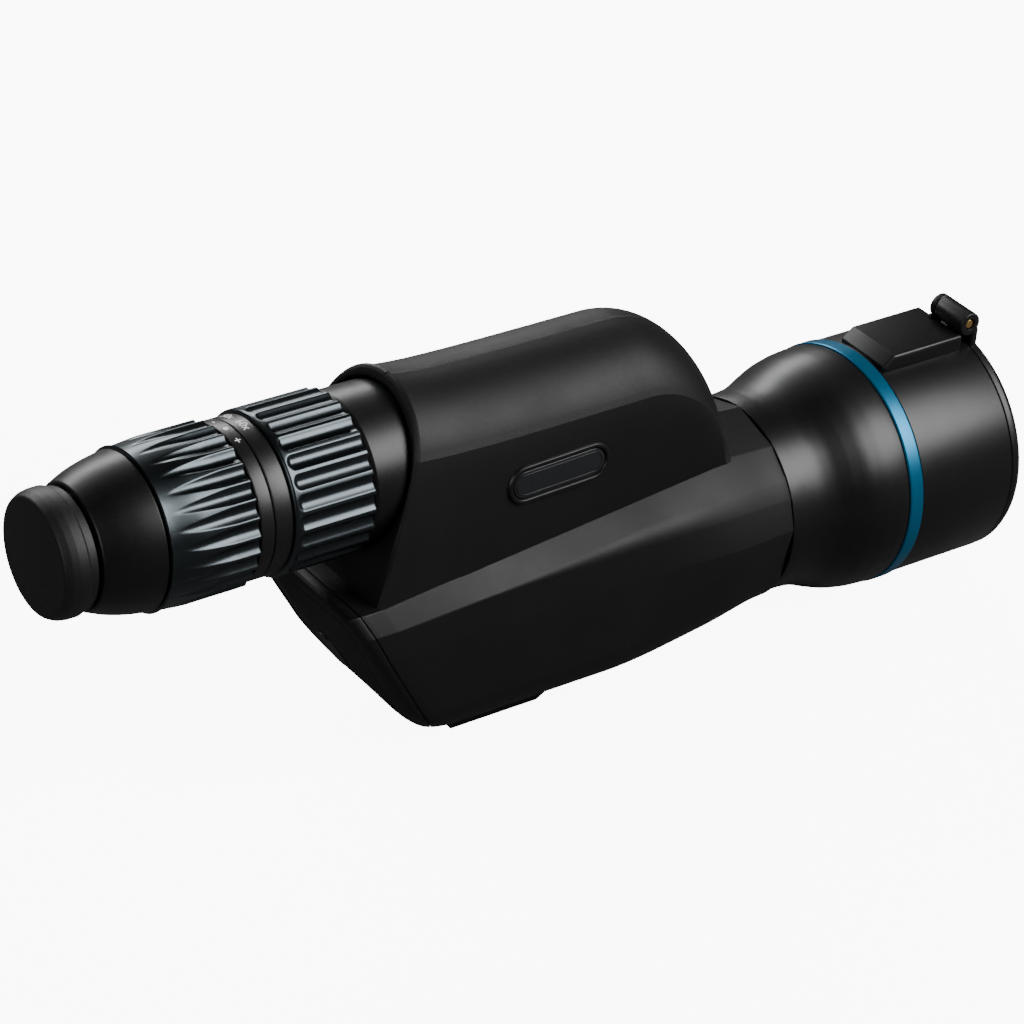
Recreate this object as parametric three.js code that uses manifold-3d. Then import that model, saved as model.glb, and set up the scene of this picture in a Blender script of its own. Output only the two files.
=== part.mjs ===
// Spotting scope: straight-through 20-60x80 zoom scope with a folded light path.
// Millimetres, +X towards the objective, +Z up. The origin is the middle of the tripod foot's face.
import * as THREE from 'three';
import { ConvexGeometry } from 'three/addons/geometries/ConvexGeometry.js';
import { mergeVertices } from 'three/addons/utils/BufferGeometryUtils.js';
import Module from 'manifold-3d';

const wasm = await Module();
wasm.setup();

// ---- driving dimensions -------------------------------------------------------------------
const CLEAR = 0.3; // gap between neighbouring pieces
const FOOT_STATION = 176; // eyepiece cap's rear face to the middle of the foot
const OBJECTIVE_AXIS = 46; // height of the objective's axis over the foot's face
const EYEPIECE_RISE = 62.7; // eyepiece axis over the objective axis

// Eyepiece, stations measured from the cap's rear face
const CAP_LENGTH = 12.4;
const CAP_END_RADIUS = 19.8;
const CAP_RADIUS = 22.1;
const CAP_LIP_WALL = 1.2; // round the cap's bore, forward of its fat rear edge
const CAP_WALL = 2.4;
const EYECUP_START = 3.2;
const EYECUP_LENGTH = 21;
const EYECUP_RADIUS = 18.8;
const EYECUP_WALL = 2.2;
const EYE_LENS_RADIUS = 12.4;
const EYE_LENS_STATION = 15.5;
const CONE_START = 16.8;
const CONE_RADIUS = 21.5;
const FOCUS_START = 35;
const FOCUS_LENGTH = 33.7;
const BAND_RADIUS = 27.6;
const INDEX_WIDTH = 5.2;
const SCALE_WIDTH = 6.8;
const RING_RADIUS = 28.7; // over the lands of both knurled rings
const RING_BORE = 24.2;
const ZOOM_LENGTH = 31.8;
const CORE_WALL = 3;
const SLEEVE_WALL = 2;
const BARREL_RADIUS = 27.2;
const BARREL_LENGTH = 34;
const FOCUS_FLUTES = 28;
const ZOOM_FLUTES = 26;
const FLUTE_DEPTH = 1.3;
const FOCUS_TRAVEL = 2.2; // of the focusing lens, each way
const ZOOM_TURN = 140; // degrees from 60x to 20x
const OCULAR_TUBE_LENGTH = 22;
const FOCUS_CELL_LENGTH = 10;

// Body
const WALL = 3;
const BODY_HALF_WIDTH = 37.5;
const BODY_DEPTH = 38.5; // below the objective's axis
const BODY_CORNER = 25;
const SIDE_TOP = 6; // height where the flat side starts leaning in towards the ledge
const LEDGE_HALF_WIDTH = 37; // the ledge's outer edge
const LEDGE_HEIGHT = 17.2;
const LEDGE_RISE = 5.8; // gained by the outer edge at the taper
const SHELF_HALF_WIDTH = 33; // the ledge's inner edge, at the foot of the hump
const SHELF_HEIGHT = 25;
const SHELF_NOSE_HALF_WIDTH = 21.5;
const SHELF_NOSE_HEIGHT = 34;
const REAR_STATION = 115; // rear face where it crosses the objective's axis
const REAR_SLOPE = 0.53; // how far the rear face leans, run over rise
const TAPER_START = 231;
const BODY_END = 291.2;
const TUBE_RADIUS = 38;
const HUMP_REAR_STATION = 105.9; // hump's rear edge, carried down to the objective's axis
const HUMP_REAR_SLOPE = 0.3;
const HUMP_REAR_RADIUS = 30.6;
const HUMP_RADIUS = 28.6;
const CREASE_HALF_WIDTH = 25.6;
const SIDE_BOW = 2.2;
const NOSE_START = 231;
const NOSE_END = 271;
const NOSE_BASE = 34;
const RECESS_GAP = 1.2; // round the barrel, where it enters the hump
const RECESS_DEPTH = 22;
const FOOT_LENGTH = 37;
const FOOT_HALF_WIDTH = 19.5;
const FOOT_RAMP = 14;
const REAR_BORDER = 5.5;
const REAR_PLATE = 2.4;

// Objective
const BELL_RADIUS = 45.6;
const BELL_NECK_RADIUS = 37.3;
const TRIM_START = 339.3;
const TRIM_WIDTH = 6;
const TRIM_RADIUS = 46;
const SHADE_RADIUS = 45.4;
const SHADE_WALL = 2.2;
const SHADE_LENGTH = 43.1;
const LENS_RADIUS = 40;
const LENS_STATION = 346;
const COVER_THICKNESS = 5;
const PLATE_HALF_WIDTH = 13.5;
const PLATE_TOP = 49.6;
const PLATE_LENGTH = 37;
const HINGE_STATION = 387;
const HINGE_HEIGHT = 53.2;
const HINGE_RADIUS = 4.6;
const HINGE_PIN_RADIUS = 1.9;
const HINGE_SPLIT = 6.5; // where the fixed and the moving knuckle meet

// Badge and foot hardware
const BADGE_STATION = 188;
const BADGE_HEIGHT = 55.5;
const BADGE_LENGTH = 39;
const BADGE_WIDTH = 11;
const FOOT_PLATE = 3;
const THREAD_OFFSET = 10;

// ---- materials ----------------------------------------------------------------------------
function paint(color, roughness, metalness = 0) {
  return new THREE.MeshStandardMaterial({ color, roughness, metalness });
}
const rubber = paint(0x1b1b1b, 0.9);
const armour = paint(0x202020, 0.8);
const plastic = paint(0x161616, 0.55);
const gloss = paint(0x0c0c0c, 0.2);
const gunmetal = paint(0x6f777c, 0.35, 0.9);
const black = paint(0x141414, 0.5, 0.6);
const blue = paint(0x14738f, 0.4, 0.7);
const brass = paint(0xb5883c, 0.3, 1);
const steel = paint(0x9a9c9e, 0.35, 1);
const glass = paint(0x9fb4c0, 0.05);
const mirror = paint(0xd0d4d8, 0.05, 1);
const badge = paint(0x2a2c2e, 0.35, 0.5);

// Facets round a turned piece
const HIDDEN_SIDES = 24;
const SHOWN_SIDES = 48;

// ---- solids -------------------------------------------------------------------------------
function clean(geometry) {
  const bare = geometry.clone();
  bare.deleteAttribute('normal');
  bare.deleteAttribute('uv');
  const merged = mergeVertices(bare, 1e-4);
  const index = merged.index.array;
  const kept = [];
  for (let i = 0; i < index.length; i += 3) {
    const [a, b, c] = [index[i], index[i + 1], index[i + 2]];
    if (a !== b && b !== c && c !== a) kept.push(a, b, c);
  }
  merged.setIndex(kept);
  return merged;
}

function signedVolume(geometry) {
  const position = geometry.attributes.position;
  const index = geometry.index.array;
  const corner = [new THREE.Vector3(), new THREE.Vector3(), new THREE.Vector3()];
  let volume = 0;
  for (let i = 0; i < index.length; i += 3) {
    corner.forEach((v, k) => v.fromBufferAttribute(position, index[i + k]));
    volume += corner[0].dot(corner[1].cross(corner[2]));
  }
  return volume;
}

function solid(geometry) {
  const mesh = clean(geometry);
  const triangles = Uint32Array.from(mesh.index.array);
  if (signedVolume(mesh) < 0) triangles.reverse();
  const vertProperties = Float32Array.from(mesh.attributes.position.array);
  return new wasm.Manifold(new wasm.Mesh({ numProp: 3, vertProperties, triVerts: triangles }));
}

function geometryOf(manifold) {
  const mesh = manifold.getMesh();
  const geometry = new THREE.BufferGeometry();
  geometry.setAttribute('position', new THREE.BufferAttribute(mesh.vertProperties, 3));
  geometry.setIndex(new THREE.BufferAttribute(mesh.triVerts, 1));
  geometry.computeVertexNormals();
  return geometry;
}

// A body of revolution about X from [station, radius] points
function turned(profile, segments = HIDDEN_SIDES) {
  const closed = profile[0][1] === 0 ? profile : [...profile, profile[0]];
  const points = closed.map(([x, r]) => new THREE.Vector2(r, x));
  return solid(new THREE.LatheGeometry(points, segments).rotateZ(-Math.PI / 2));
}

function tube(start, end, inner, outer, segments = HIDDEN_SIDES) {
  return turned([[start, inner], [end, inner], [end, outer], [start, outer]], segments);
}

function rod(start, end, radius, segments = HIDDEN_SIDES) {
  return turned([[start, 0], [start, radius], [end, radius], [end, 0]], segments);
}

function box(x0, x1, y0, y1, z0, z1) {
  const shape = new THREE.BoxGeometry(x1 - x0, y1 - y0, z1 - z0);
  return solid(shape.translate((x0 + x1) / 2, (y0 + y1) / 2, (z0 + z1) / 2));
}

const hull = (points) => solid(new ConvexGeometry(points));
const unite = (...parts) => parts.reduce((sum, part) => sum.add(part));
const cut = (body, ...tools) => tools.reduce((rest, tool) => rest.subtract(tool), body);

function upright(radius, z0, z1, x, y = 0, segments = 24) {
  const bar = new THREE.CylinderGeometry(radius, radius, z1 - z0, segments);
  return solid(bar.rotateX(Math.PI / 2).translate(x, y, (z0 + z1) / 2));
}

// A cylinder lying across the scope
function across(radius, y0, y1, x, z, segments = 32) {
  const bar = new THREE.CylinderGeometry(radius, radius, y1 - y0, segments);
  return solid(bar.translate(x, (y0 + y1) / 2, z));
}

// ---- scene graph --------------------------------------------------------------------------
const scope = new THREE.Group();
const body = new THREE.Group();
const objective = new THREE.Group();
const eyepiece = new THREE.Group();
body.position.set(-FOOT_STATION, 0, 0);
objective.position.z = OBJECTIVE_AXIS;
eyepiece.position.z = OBJECTIVE_AXIS + EYEPIECE_RISE;
scope.add(body);
body.add(objective, eyepiece);

function place(parent, name, manifold, material) {
  const mesh = new THREE.Mesh(geometryOf(manifold), material);
  mesh.name = name;
  parent.add(mesh);
  return mesh;
}

// ---- eyepiece -----------------------------------------------------------------------------
const FOCUS_END = FOCUS_START + FOCUS_LENGTH;
const INDEX_START = FOCUS_END + CLEAR;
const SCALE_START = INDEX_START + INDEX_WIDTH + CLEAR;
const ZOOM_START = SCALE_START + SCALE_WIDTH + CLEAR;
const ZOOM_END = ZOOM_START + ZOOM_LENGTH;
const BARREL_START = ZOOM_END + CLEAR;
const BARREL_END = BARREL_START + BARREL_LENGTH;
const CORE_RADIUS = RING_BORE - CLEAR;
const CORE_BORE = CORE_RADIUS - CORE_WALL;
const SLEEVE_RADIUS = CORE_BORE - CLEAR;
const SLEEVE_BORE = SLEEVE_RADIUS - SLEEVE_WALL;
const CELL_RADIUS = SLEEVE_BORE - CLEAR;
const CELL_WALL = 2.6;
const ZOOM_LENS_RADIUS = CELL_RADIUS - CELL_WALL - CLEAR;
const PIN_RADIUS = 1.6;
const PIN_STATION = ZOOM_START + ZOOM_LENGTH / 2;

function makeCap() {
  const bore = EYECUP_RADIUS + 1;
  const lip = bore + CAP_LIP_WALL;
  place(eyepiece, 'eyepiece_cap', turned([
    [0, 0], [0, CAP_END_RADIUS - 1.5], [1.2, CAP_END_RADIUS + 0.6], [4.5, CAP_RADIUS], [8, CAP_RADIUS],
    [8.6, lip], [CAP_LENGTH - 0.5, lip], [CAP_LENGTH, lip - 0.5], [CAP_LENGTH, bore], [CAP_WALL, bore],
    [CAP_WALL, 0],
  ], SHOWN_SIDES), rubber);
}

function makeEyecup() {
  const bore = EYECUP_RADIUS - EYECUP_WALL;
  const end = EYECUP_START + EYECUP_LENGTH;
  place(eyepiece, 'eyecup', turned([
    [EYECUP_START, bore + 0.6], [EYECUP_START + 0.6, bore], [end, bore], [end, EYECUP_RADIUS],
    [EYECUP_START + 5, EYECUP_RADIUS], [EYECUP_START + 4.4, EYECUP_RADIUS + 0.6],
    [EYECUP_START + 0.8, EYECUP_RADIUS + 0.6], [EYECUP_START, EYECUP_RADIUS],
  ]), gloss);
}

// The eyecup sits pushed in at rest and pulls out to the rear
const CONE_BORE = EYECUP_RADIUS + CLEAR;
const CONE_WEB = EYECUP_START + EYECUP_LENGTH + CLEAR;
const MOUNT_RADIUS = EYECUP_RADIUS - EYECUP_WALL - CLEAR;
const OCULAR_RADIUS = CORE_BORE - CLEAR;
const OCULAR_BORE = MOUNT_RADIUS;
const OCULAR_END = FOCUS_START + OCULAR_TUBE_LENGTH;

function makeOcularHousing() {
  const seat = EYE_LENS_STATION + 6;
  place(eyepiece, 'ocular_housing', turned([
    [CONE_START, CONE_BORE], [CONE_WEB, CONE_BORE], [CONE_WEB, MOUNT_RADIUS],
    [EYE_LENS_STATION - 2, MOUNT_RADIUS], [EYE_LENS_STATION - 2, EYE_LENS_RADIUS + CLEAR],
    [seat, EYE_LENS_RADIUS + CLEAR], [seat, EYE_LENS_RADIUS - 1.2], [CONE_WEB + 2, EYE_LENS_RADIUS - 1.2],
    [CONE_WEB + 2, OCULAR_BORE], [OCULAR_END, OCULAR_BORE],
    [OCULAR_END, OCULAR_RADIUS], [FOCUS_START - CLEAR, OCULAR_RADIUS],
    [FOCUS_START - CLEAR, RING_RADIUS - 1.3],
    [CONE_START + 9, RING_RADIUS - 3.4], [CONE_START, CONE_RADIUS],
  ], SHOWN_SIDES), plastic);
  const rear = EYE_LENS_STATION;
  place(eyepiece, 'eye_lens', turned([
    [rear + 0.8, 0], [rear + 0.6, 5], [rear, EYE_LENS_RADIUS], [rear + 4, EYE_LENS_RADIUS], [rear + 5.4, 6],
    [rear + 5.8, 0],
  ]), glass);
  place(eyepiece, 'eye_lens_ring',
    tube(rear - 1.9, rear - CLEAR, EYE_LENS_RADIUS - 1.2, EYE_LENS_RADIUS), black);
}

// The focus ring moves this lens, in its own cell, along the ocular housing's tube
function makeFocusGroup() {
  const start = OCULAR_END - FOCUS_CELL_LENGTH - FOCUS_TRAVEL - 1;
  const outer = OCULAR_BORE - CLEAR;
  const bore = outer - 1.8;
  const lens = bore - CLEAR;
  place(eyepiece, 'focus_cell', turned([
    [start, bore - 1.6], [start + 1.2, bore - 1.6], [start + 1.2, bore], [start + FOCUS_CELL_LENGTH, bore],
    [start + FOCUS_CELL_LENGTH, outer], [start, outer],
  ]), black);
  const seat = start + 1.2 + CLEAR;
  place(eyepiece, 'focus_lens', turned([
    [seat, 0], [seat + 0.3, 7], [seat + 1.1, lens], [seat + 4, lens], [seat + 4.9, 7], [seat + 5.3, 0],
  ]), glass);
  place(eyepiece, 'focus_lens_ring', tube(seat + 5.6, seat + 7.2, lens - 1.6, lens), black);
}

// Knurled ring: flat lands with a round scoop between each pair
function fluted(start, length, flutes) {
  const shape = new THREE.Shape();
  const steps = 4;
  const land = 0.3;
  for (let i = 0; i < flutes; i += 1) {
    for (let k = 0; k <= steps; k += 1) {
      const turn = i + land + ((1 - land) * k) / steps;
      const angle = (turn * 2 * Math.PI) / flutes;
      const radius = RING_RADIUS - FLUTE_DEPTH * Math.sin((Math.PI * k) / steps);
      const at = [radius * Math.cos(angle), radius * Math.sin(angle)];
      if (i === 0 && k === 0) shape.moveTo(...at);
      else shape.lineTo(...at);
    }
  }
  const hole = new THREE.Path();
  hole.absarc(0, 0, RING_BORE, 0, 2 * Math.PI, true);
  shape.holes.push(hole);
  const bar = new THREE.ExtrudeGeometry(shape, { depth: length, bevelEnabled: false, curveSegments: 12 });
  return solid(bar.rotateY(Math.PI / 2).translate(start, 0, 0));
}

function makeRings() {
  const chamfer = 2;
  const trim = (start, end) => turned([
    [start, 0], [start, RING_RADIUS - chamfer * 0.6], [start + chamfer, RING_RADIUS + 0.1],
    [end - 1, RING_RADIUS + 0.1], [end, RING_RADIUS - 0.5], [end, 0],
  ], SHOWN_SIDES);
  const focus = fluted(FOCUS_START, FOCUS_LENGTH, FOCUS_FLUTES).intersect(trim(FOCUS_START, FOCUS_END));
  const zoom = fluted(ZOOM_START, ZOOM_LENGTH, ZOOM_FLUTES).intersect(trim(ZOOM_START, ZOOM_END));
  place(eyepiece, 'focus_ring', focus, gunmetal);
  place(eyepiece, 'zoom_ring', zoom, gunmetal);
  const band = (start, width) => tube(start, start + width, RING_BORE, BAND_RADIUS, SHOWN_SIDES);
  place(eyepiece, 'index_collar', band(INDEX_START, INDEX_WIDTH), black);
  place(eyepiece, 'zoom_scale_band', band(SCALE_START, SCALE_WIDTH), black);
}

// Part of a ring about X, swept through an angle from the top towards -Y
function arcSlot(start, end, inner, outer, from, to) {
  const shape = new THREE.Shape();
  const radians = THREE.MathUtils.degToRad;
  const steps = Math.ceil((to - from) / 8);
  for (let i = 0; i <= steps; i += 1) {
    const angle = radians(from + ((to - from) * i) / steps);
    const at = [-outer * Math.sin(angle), outer * Math.cos(angle)];
    if (i === 0) shape.moveTo(...at);
    else shape.lineTo(...at);
  }
  for (let i = steps; i >= 0; i -= 1) {
    const angle = radians(from + ((to - from) * i) / steps);
    shape.lineTo(-inner * Math.sin(angle), inner * Math.cos(angle));
  }
  const bar = new THREE.ExtrudeGeometry(shape, { depth: end - start, bevelEnabled: false });
  // shape X becomes Y, shape Y becomes Z and the depth runs along X
  const turn = new THREE.Matrix4().makeBasis(
    new THREE.Vector3(0, 1, 0), new THREE.Vector3(0, 0, 1), new THREE.Vector3(1, 0, 0));
  return solid(bar.applyMatrix4(turn).translate(start, 0, 0));
}

function makeCore() {
  const margin = 8;
  const pinStart = 20; // the drive pin's place at rest, in degrees from the top
  const slot = arcSlot(PIN_STATION - PIN_RADIUS - CLEAR, PIN_STATION + PIN_RADIUS + CLEAR, CORE_BORE - 2,
    CORE_RADIUS + 2, pinStart - margin, pinStart + ZOOM_TURN + margin);
  const core = cut(tube(FOCUS_START + 1.2, BARREL_END, CORE_BORE, CORE_RADIUS), slot);
  place(eyepiece, 'eyepiece_core', core, black);
  const pin = rod(SLEEVE_RADIUS + CLEAR, RING_BORE - CLEAR, PIN_RADIUS, 12);
  const driver = place(eyepiece, 'zoom_drive_pin', pin, steel);
  // the pin's own X runs outwards, turned from the top towards -Y
  driver.rotation.set(THREE.MathUtils.degToRad(pinStart), -Math.PI / 2, 0, 'XYZ');
  driver.position.x = PIN_STATION;
  const barrel = tube(BARREL_START, BARREL_END, RING_BORE, BARREL_RADIUS, SHOWN_SIDES);
  place(eyepiece, 'eyepiece_barrel', barrel, plastic);
}

function makeZoomGroup() {
  const sleeveStart = OCULAR_END + 4;
  place(eyepiece, 'zoom_cam_sleeve', tube(sleeveStart, BARREL_END - 18, SLEEVE_BORE, SLEEVE_RADIUS), steel);
  const cell = (name, station) => {
    const bore = CELL_RADIUS - CELL_WALL;
    place(eyepiece, `${name}_zoom_cell`, turned([
      [station, bore - 1.2], [station + 1.5, bore - 1.2], [station + 1.5, bore], [station + 8, bore],
      [station + 8, CELL_RADIUS], [station, CELL_RADIUS],
    ]), black);
    place(eyepiece, `${name}_zoom_lens`, turned([
      [station + 1.9, 0], [station + 2.2, 7], [station + 3, ZOOM_LENS_RADIUS],
      [station + 6, ZOOM_LENS_RADIUS], [station + 6.8, 7], [station + 7.1, 0],
    ]), glass);
  };
  cell('rear', sleeveStart + 8);
  cell('front', sleeveStart + 40);
  const stop = BARREL_END - 16;
  place(eyepiece, 'field_stop', turned([
    [stop, 10], [stop + 1.2, 10], [stop + 1.2, CORE_BORE - 2.5], [stop + 5, CORE_BORE - 2.5],
    [stop + 5, CORE_BORE - CLEAR], [stop, CORE_BORE - CLEAR],
  ]), black);
}

// ---- body ---------------------------------------------------------------------------------
const rearFace = (offset = 0) => (z) => REAR_STATION + offset - REAR_SLOPE * z;

// Points of an outline at a station, which may be a number or a function of the height
function section(outline, station) {
  const along = typeof station === 'function' ? station : () => station;
  return outline.map(([y, z]) => new THREE.Vector3(along(z), y, z));
}

const mix = (a, b, t) => a + (b - a) * t;
const share = (x, from, to) => Math.min(Math.max((x - from) / (to - from), 0), 1);

// Both halves of an outline, given from the top centre round to the bottom centre
const mirrored = (half) => [...half, ...half.slice(1, -1).reverse().map(([y, z]) => [-y, z])];

// A skin over sections with matching points, closed by a fan at each end
function loft(sections) {
  const count = sections[0].length;
  const position = sections.flat().flatMap((v) => [v.x, v.y, v.z]);
  const index = [];
  for (let s = 0; s < sections.length - 1; s += 1) {
    for (let i = 0; i < count; i += 1) {
      const a = s * count + i;
      const b = s * count + ((i + 1) % count);
      index.push(a, b, a + count, b, b + count, a + count);
    }
  }
  [0, sections.length - 1].forEach((s, end) => {
    const middle = new THREE.Vector3();
    sections[s].forEach((v) => middle.addScaledVector(v, 1 / count));
    const hub = position.push(middle.x, middle.y, middle.z) / 3 - 1;
    for (let i = 0; i < count; i += 1) {
      const pair = [s * count + i, s * count + ((i + 1) % count)];
      if (end === 0) pair.reverse();
      index.push(hub, ...pair);
    }
  });
  const geometry = new THREE.BufferGeometry();
  geometry.setAttribute('position', new THREE.Float32BufferAttribute(position, 3));
  geometry.setIndex(index);
  return solid(geometry);
}

// The ledge's inner edge closes in from the rear to the nose
function shelfAt(x) {
  const t = share(x, REAR_STATION, NOSE_END);
  return [mix(SHELF_HALF_WIDTH, SHELF_NOSE_HALF_WIDTH, t), mix(SHELF_HEIGHT, SHELF_NOSE_HEIGHT, t)];
}

const CORNER_STEPS = 8;

function bodyOutline(x, inset = 0) {
  const [shelfY, shelfZ] = shelfAt(x);
  const ledge = LEDGE_HEIGHT + LEDGE_RISE * share(x, REAR_STATION, TAPER_START);
  const corner = BODY_CORNER - inset;
  const half = [
    [0, shelfZ - inset], [shelfY - inset, shelfZ - inset], [LEDGE_HALF_WIDTH - inset, ledge - inset],
    [BODY_HALF_WIDTH - inset, SIDE_TOP],
  ];
  for (let i = 0; i <= CORNER_STEPS; i += 1) {
    const angle = (i / CORNER_STEPS) * (Math.PI / 2);
    const y = BODY_HALF_WIDTH - BODY_CORNER + corner * Math.cos(angle);
    half.push([y, BODY_CORNER - BODY_DEPTH - corner * Math.sin(angle)]);
  }
  half.push([0, -BODY_DEPTH + inset]);
  return half;
}

// The circle with a point for every point of the body's outline
function tubeOutline(radius) {
  const half = [90, 60, 34, 10].map((degrees) => THREE.MathUtils.degToRad(degrees));
  for (let i = 0; i <= CORNER_STEPS; i += 1) half.push(-0.15 - (i / CORNER_STEPS) * 1.1);
  half.push(-Math.PI / 2);
  return half.map((angle) => [radius * Math.cos(angle), radius * Math.sin(angle)]);
}

function lowerBody(inset = 0) {
  const front = tubeOutline(TUBE_RADIUS - inset);
  const sections = [section(mirrored(bodyOutline(REAR_STATION, inset)), rearFace(inset))];
  [150, 190].forEach((x) => sections.push(section(mirrored(bodyOutline(x, inset)), x)));
  const steps = 5;
  for (let i = 0; i <= steps; i += 1) {
    const x = mix(TAPER_START - 15, BODY_END, i / steps);
    const t = 0.5 - 0.5 * Math.cos((Math.PI * i) / steps);
    const outline = bodyOutline(x, inset)
      .map(([y, z], k) => [mix(y, front[k][0], t), mix(z, front[k][1], t)]);
    sections.push(section(mirrored(outline), x));
  }
  return loft(sections);
}

const CREASE_RISE = Math.sqrt(HUMP_RADIUS ** 2 - CREASE_HALF_WIDTH ** 2);

// Half outline of the hump: round top down to the crease, bowed side, then a base inside the body
function humpOutline(x, top, crease, creaseWidth, inset) {
  const half = [];
  for (let i = 0; i <= 6; i += 1) {
    const y = CREASE_HALF_WIDTH * Math.sin((i / 6) * (Math.PI / 2));
    const rise = (Math.sqrt(HUMP_RADIUS ** 2 - y ** 2) - CREASE_RISE) / (HUMP_RADIUS - CREASE_RISE);
    half.push([((creaseWidth - inset) * y) / CREASE_HALF_WIDTH, mix(crease, top - inset, rise)]);
  }
  const [shelfY, shelfZ] = shelfAt(x);
  const low = Math.min(shelfZ - 6, crease - 2);
  for (let i = 1; i <= 4; i += 1) {
    const t = i / 4;
    const bow = SIDE_BOW * Math.sin(Math.PI * Math.sqrt(t));
    half.push([mix(creaseWidth, shelfY, t) + bow - inset, mix(crease, low, t)]);
  }
  half.push([0, low]);
  return half;
}

// The nose falls away in a quarter of an ellipse, and its crease sinks a little sooner
function hump(inset = 0) {
  const top = EYEPIECE_RISE + HUMP_RADIUS;
  const crease = EYEPIECE_RISE + CREASE_RISE;
  const rear = EYEPIECE_RISE + HUMP_REAR_RADIUS;
  const sections = [
    section(mirrored(humpOutline(REAR_STATION, rear, crease + 2.6, CREASE_HALF_WIDTH + 0.6, inset)),
      (z) => HUMP_REAR_STATION + HUMP_REAR_SLOPE * z + inset),
    section(mirrored(humpOutline(165, top, crease, CREASE_HALF_WIDTH, inset)), 165),
  ];
  const steps = 8;
  for (let i = 0; i <= steps; i += 1) {
    const t = Math.sin((i / steps) * (Math.PI / 2));
    const x = mix(NOSE_START, NOSE_END - inset, t);
    const fall = Math.sqrt(1 - t ** 2);
    const sink = Math.sqrt(1 - Math.min(t * 1.06, 1) ** 2);
    const width = mix(SHELF_NOSE_HALF_WIDTH - 2, CREASE_HALF_WIDTH, fall);
    const high = mix(NOSE_BASE + 3, top, fall);
    const low = Math.min(mix(NOSE_BASE, crease, sink), high - inset - 0.5);
    sections.push(section(mirrored(humpOutline(x, high, low, width, inset)), x));
  }
  return loft(sections);
}

function footBlock() {
  const half = FOOT_LENGTH / 2;
  const rear = FOOT_STATION - half;
  const front = FOOT_STATION + half;
  const ring = (x0, x1, width, z) => [[x0, -width], [x0, width], [x1, -width], [x1, width]]
    .map(([x, y]) => new THREE.Vector3(x, y, z));
  return hull([
    ...ring(rear + 1, front, FOOT_HALF_WIDTH - 1, -OBJECTIVE_AXIS),
    ...ring(rear, front + 1, FOOT_HALF_WIDTH, -OBJECTIVE_AXIS + 1),
    ...ring(rear, front + FOOT_RAMP, FOOT_HALF_WIDTH, -BODY_DEPTH + WALL - 1),
  ]);
}

const PLATE_SIZE = [FOOT_LENGTH - 7, FOOT_HALF_WIDTH - 4.5]; // length and half width
const PLATE_Z = -OBJECTIVE_AXIS + FOOT_PLATE;

function pill(length, width, depth, radius = width / 2) {
  const shape = new THREE.Shape();
  const reach = length / 2 - radius;
  shape.absarc(reach, 0, radius, -Math.PI / 2, Math.PI / 2, false);
  shape.absarc(-reach, 0, radius, Math.PI / 2, (3 * Math.PI) / 2, false);
  return new THREE.ExtrudeGeometry(shape, { depth, bevelEnabled: false, curveSegments: 10 });
}

// The badge lies in the hump's right side, which faces -Y and leans back a little
const BADGE_LEAN = THREE.MathUtils.degToRad(5);
const BADGE_FACE = CREASE_HALF_WIDTH + SIDE_BOW + 1.2;
function onBadgeFace(geometry, depth) {
  const leaning = geometry.rotateX(Math.PI / 2 - BADGE_LEAN);
  return solid(leaning.translate(BADGE_STATION, -BADGE_FACE - depth, BADGE_HEIGHT));
}

function makeShells() {
  const outer = unite(lowerBody(), hump(), footBlock());
  const cavity = lowerBody(WALL).add(hump(WALL));
  const well = (end, radius) => rod(60, end, radius).translate([0, 0, EYEPIECE_RISE]);
  const seat = well(BARREL_END + 12, BARREL_RADIUS + CLEAR);
  const recess = well(BARREL_START + RECESS_DEPTH, BARREL_RADIUS + RECESS_GAP);
  const mouth = rod(BODY_END - 20, BODY_END + 10, TUBE_RADIUS - WALL);
  const reachX = PLATE_SIZE[0] / 2 + CLEAR;
  const reachY = PLATE_SIZE[1] + CLEAR;
  const platePocket = box(FOOT_STATION - reachX, FOOT_STATION + reachX, -reachY, reachY,
    -OBJECTIVE_AXIS - 5, PLATE_Z + CLEAR);
  const bores = [-THREAD_OFFSET, THREAD_OFFSET].map((x) =>
    upright(5 + CLEAR, -OBJECTIVE_AXIS - 1, PLATE_Z + 7 + CLEAR, FOOT_STATION + x));
  const badgePocket = onBadgeFace(pill(BADGE_LENGTH + 2 * CLEAR, BADGE_WIDTH + 2 * CLEAR, 6), 2.2);
  const rearOpening = rearPanel(REAR_BORDER - CLEAR, -8, 12);
  const shell = cut(outer, cavity, seat, recess, mouth, platePocket, ...bores, rearOpening, badgePocket);
  const reach = 200;
  const right = box(0, 400, -reach, -CLEAR / 2, -reach, reach);
  const left = box(0, 400, CLEAR / 2, reach, -reach, reach);
  place(objective, 'armour_right', shell.intersect(right), armour);
  place(objective, 'armour_left', shell.intersect(left), armour);
}

// A slab parallel to the slanted rear face, inset from the body's outline
function rearPanel(inset, from, to) {
  const outline = mirrored(bodyOutline(REAR_STATION, inset));
  return loft([section(outline, rearFace(from)), section(outline, rearFace(to))]);
}

const REAR_ANGLE = Math.atan(REAR_SLOPE);
const PLUG_RADIUS = 8;
const PLUG_HEIGHT = -9;
const MIRROR_RADIUS = 22.5;
const MIRROR_HEIGHT = -4;

// Centre line square to the slanted rear face
function slanted(manifold, height, offset) {
  const turn = THREE.MathUtils.radToDeg(REAR_ANGLE);
  return manifold.rotate([0, -turn, 0]).translate([rearFace(offset)(height), 0, height]);
}

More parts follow.
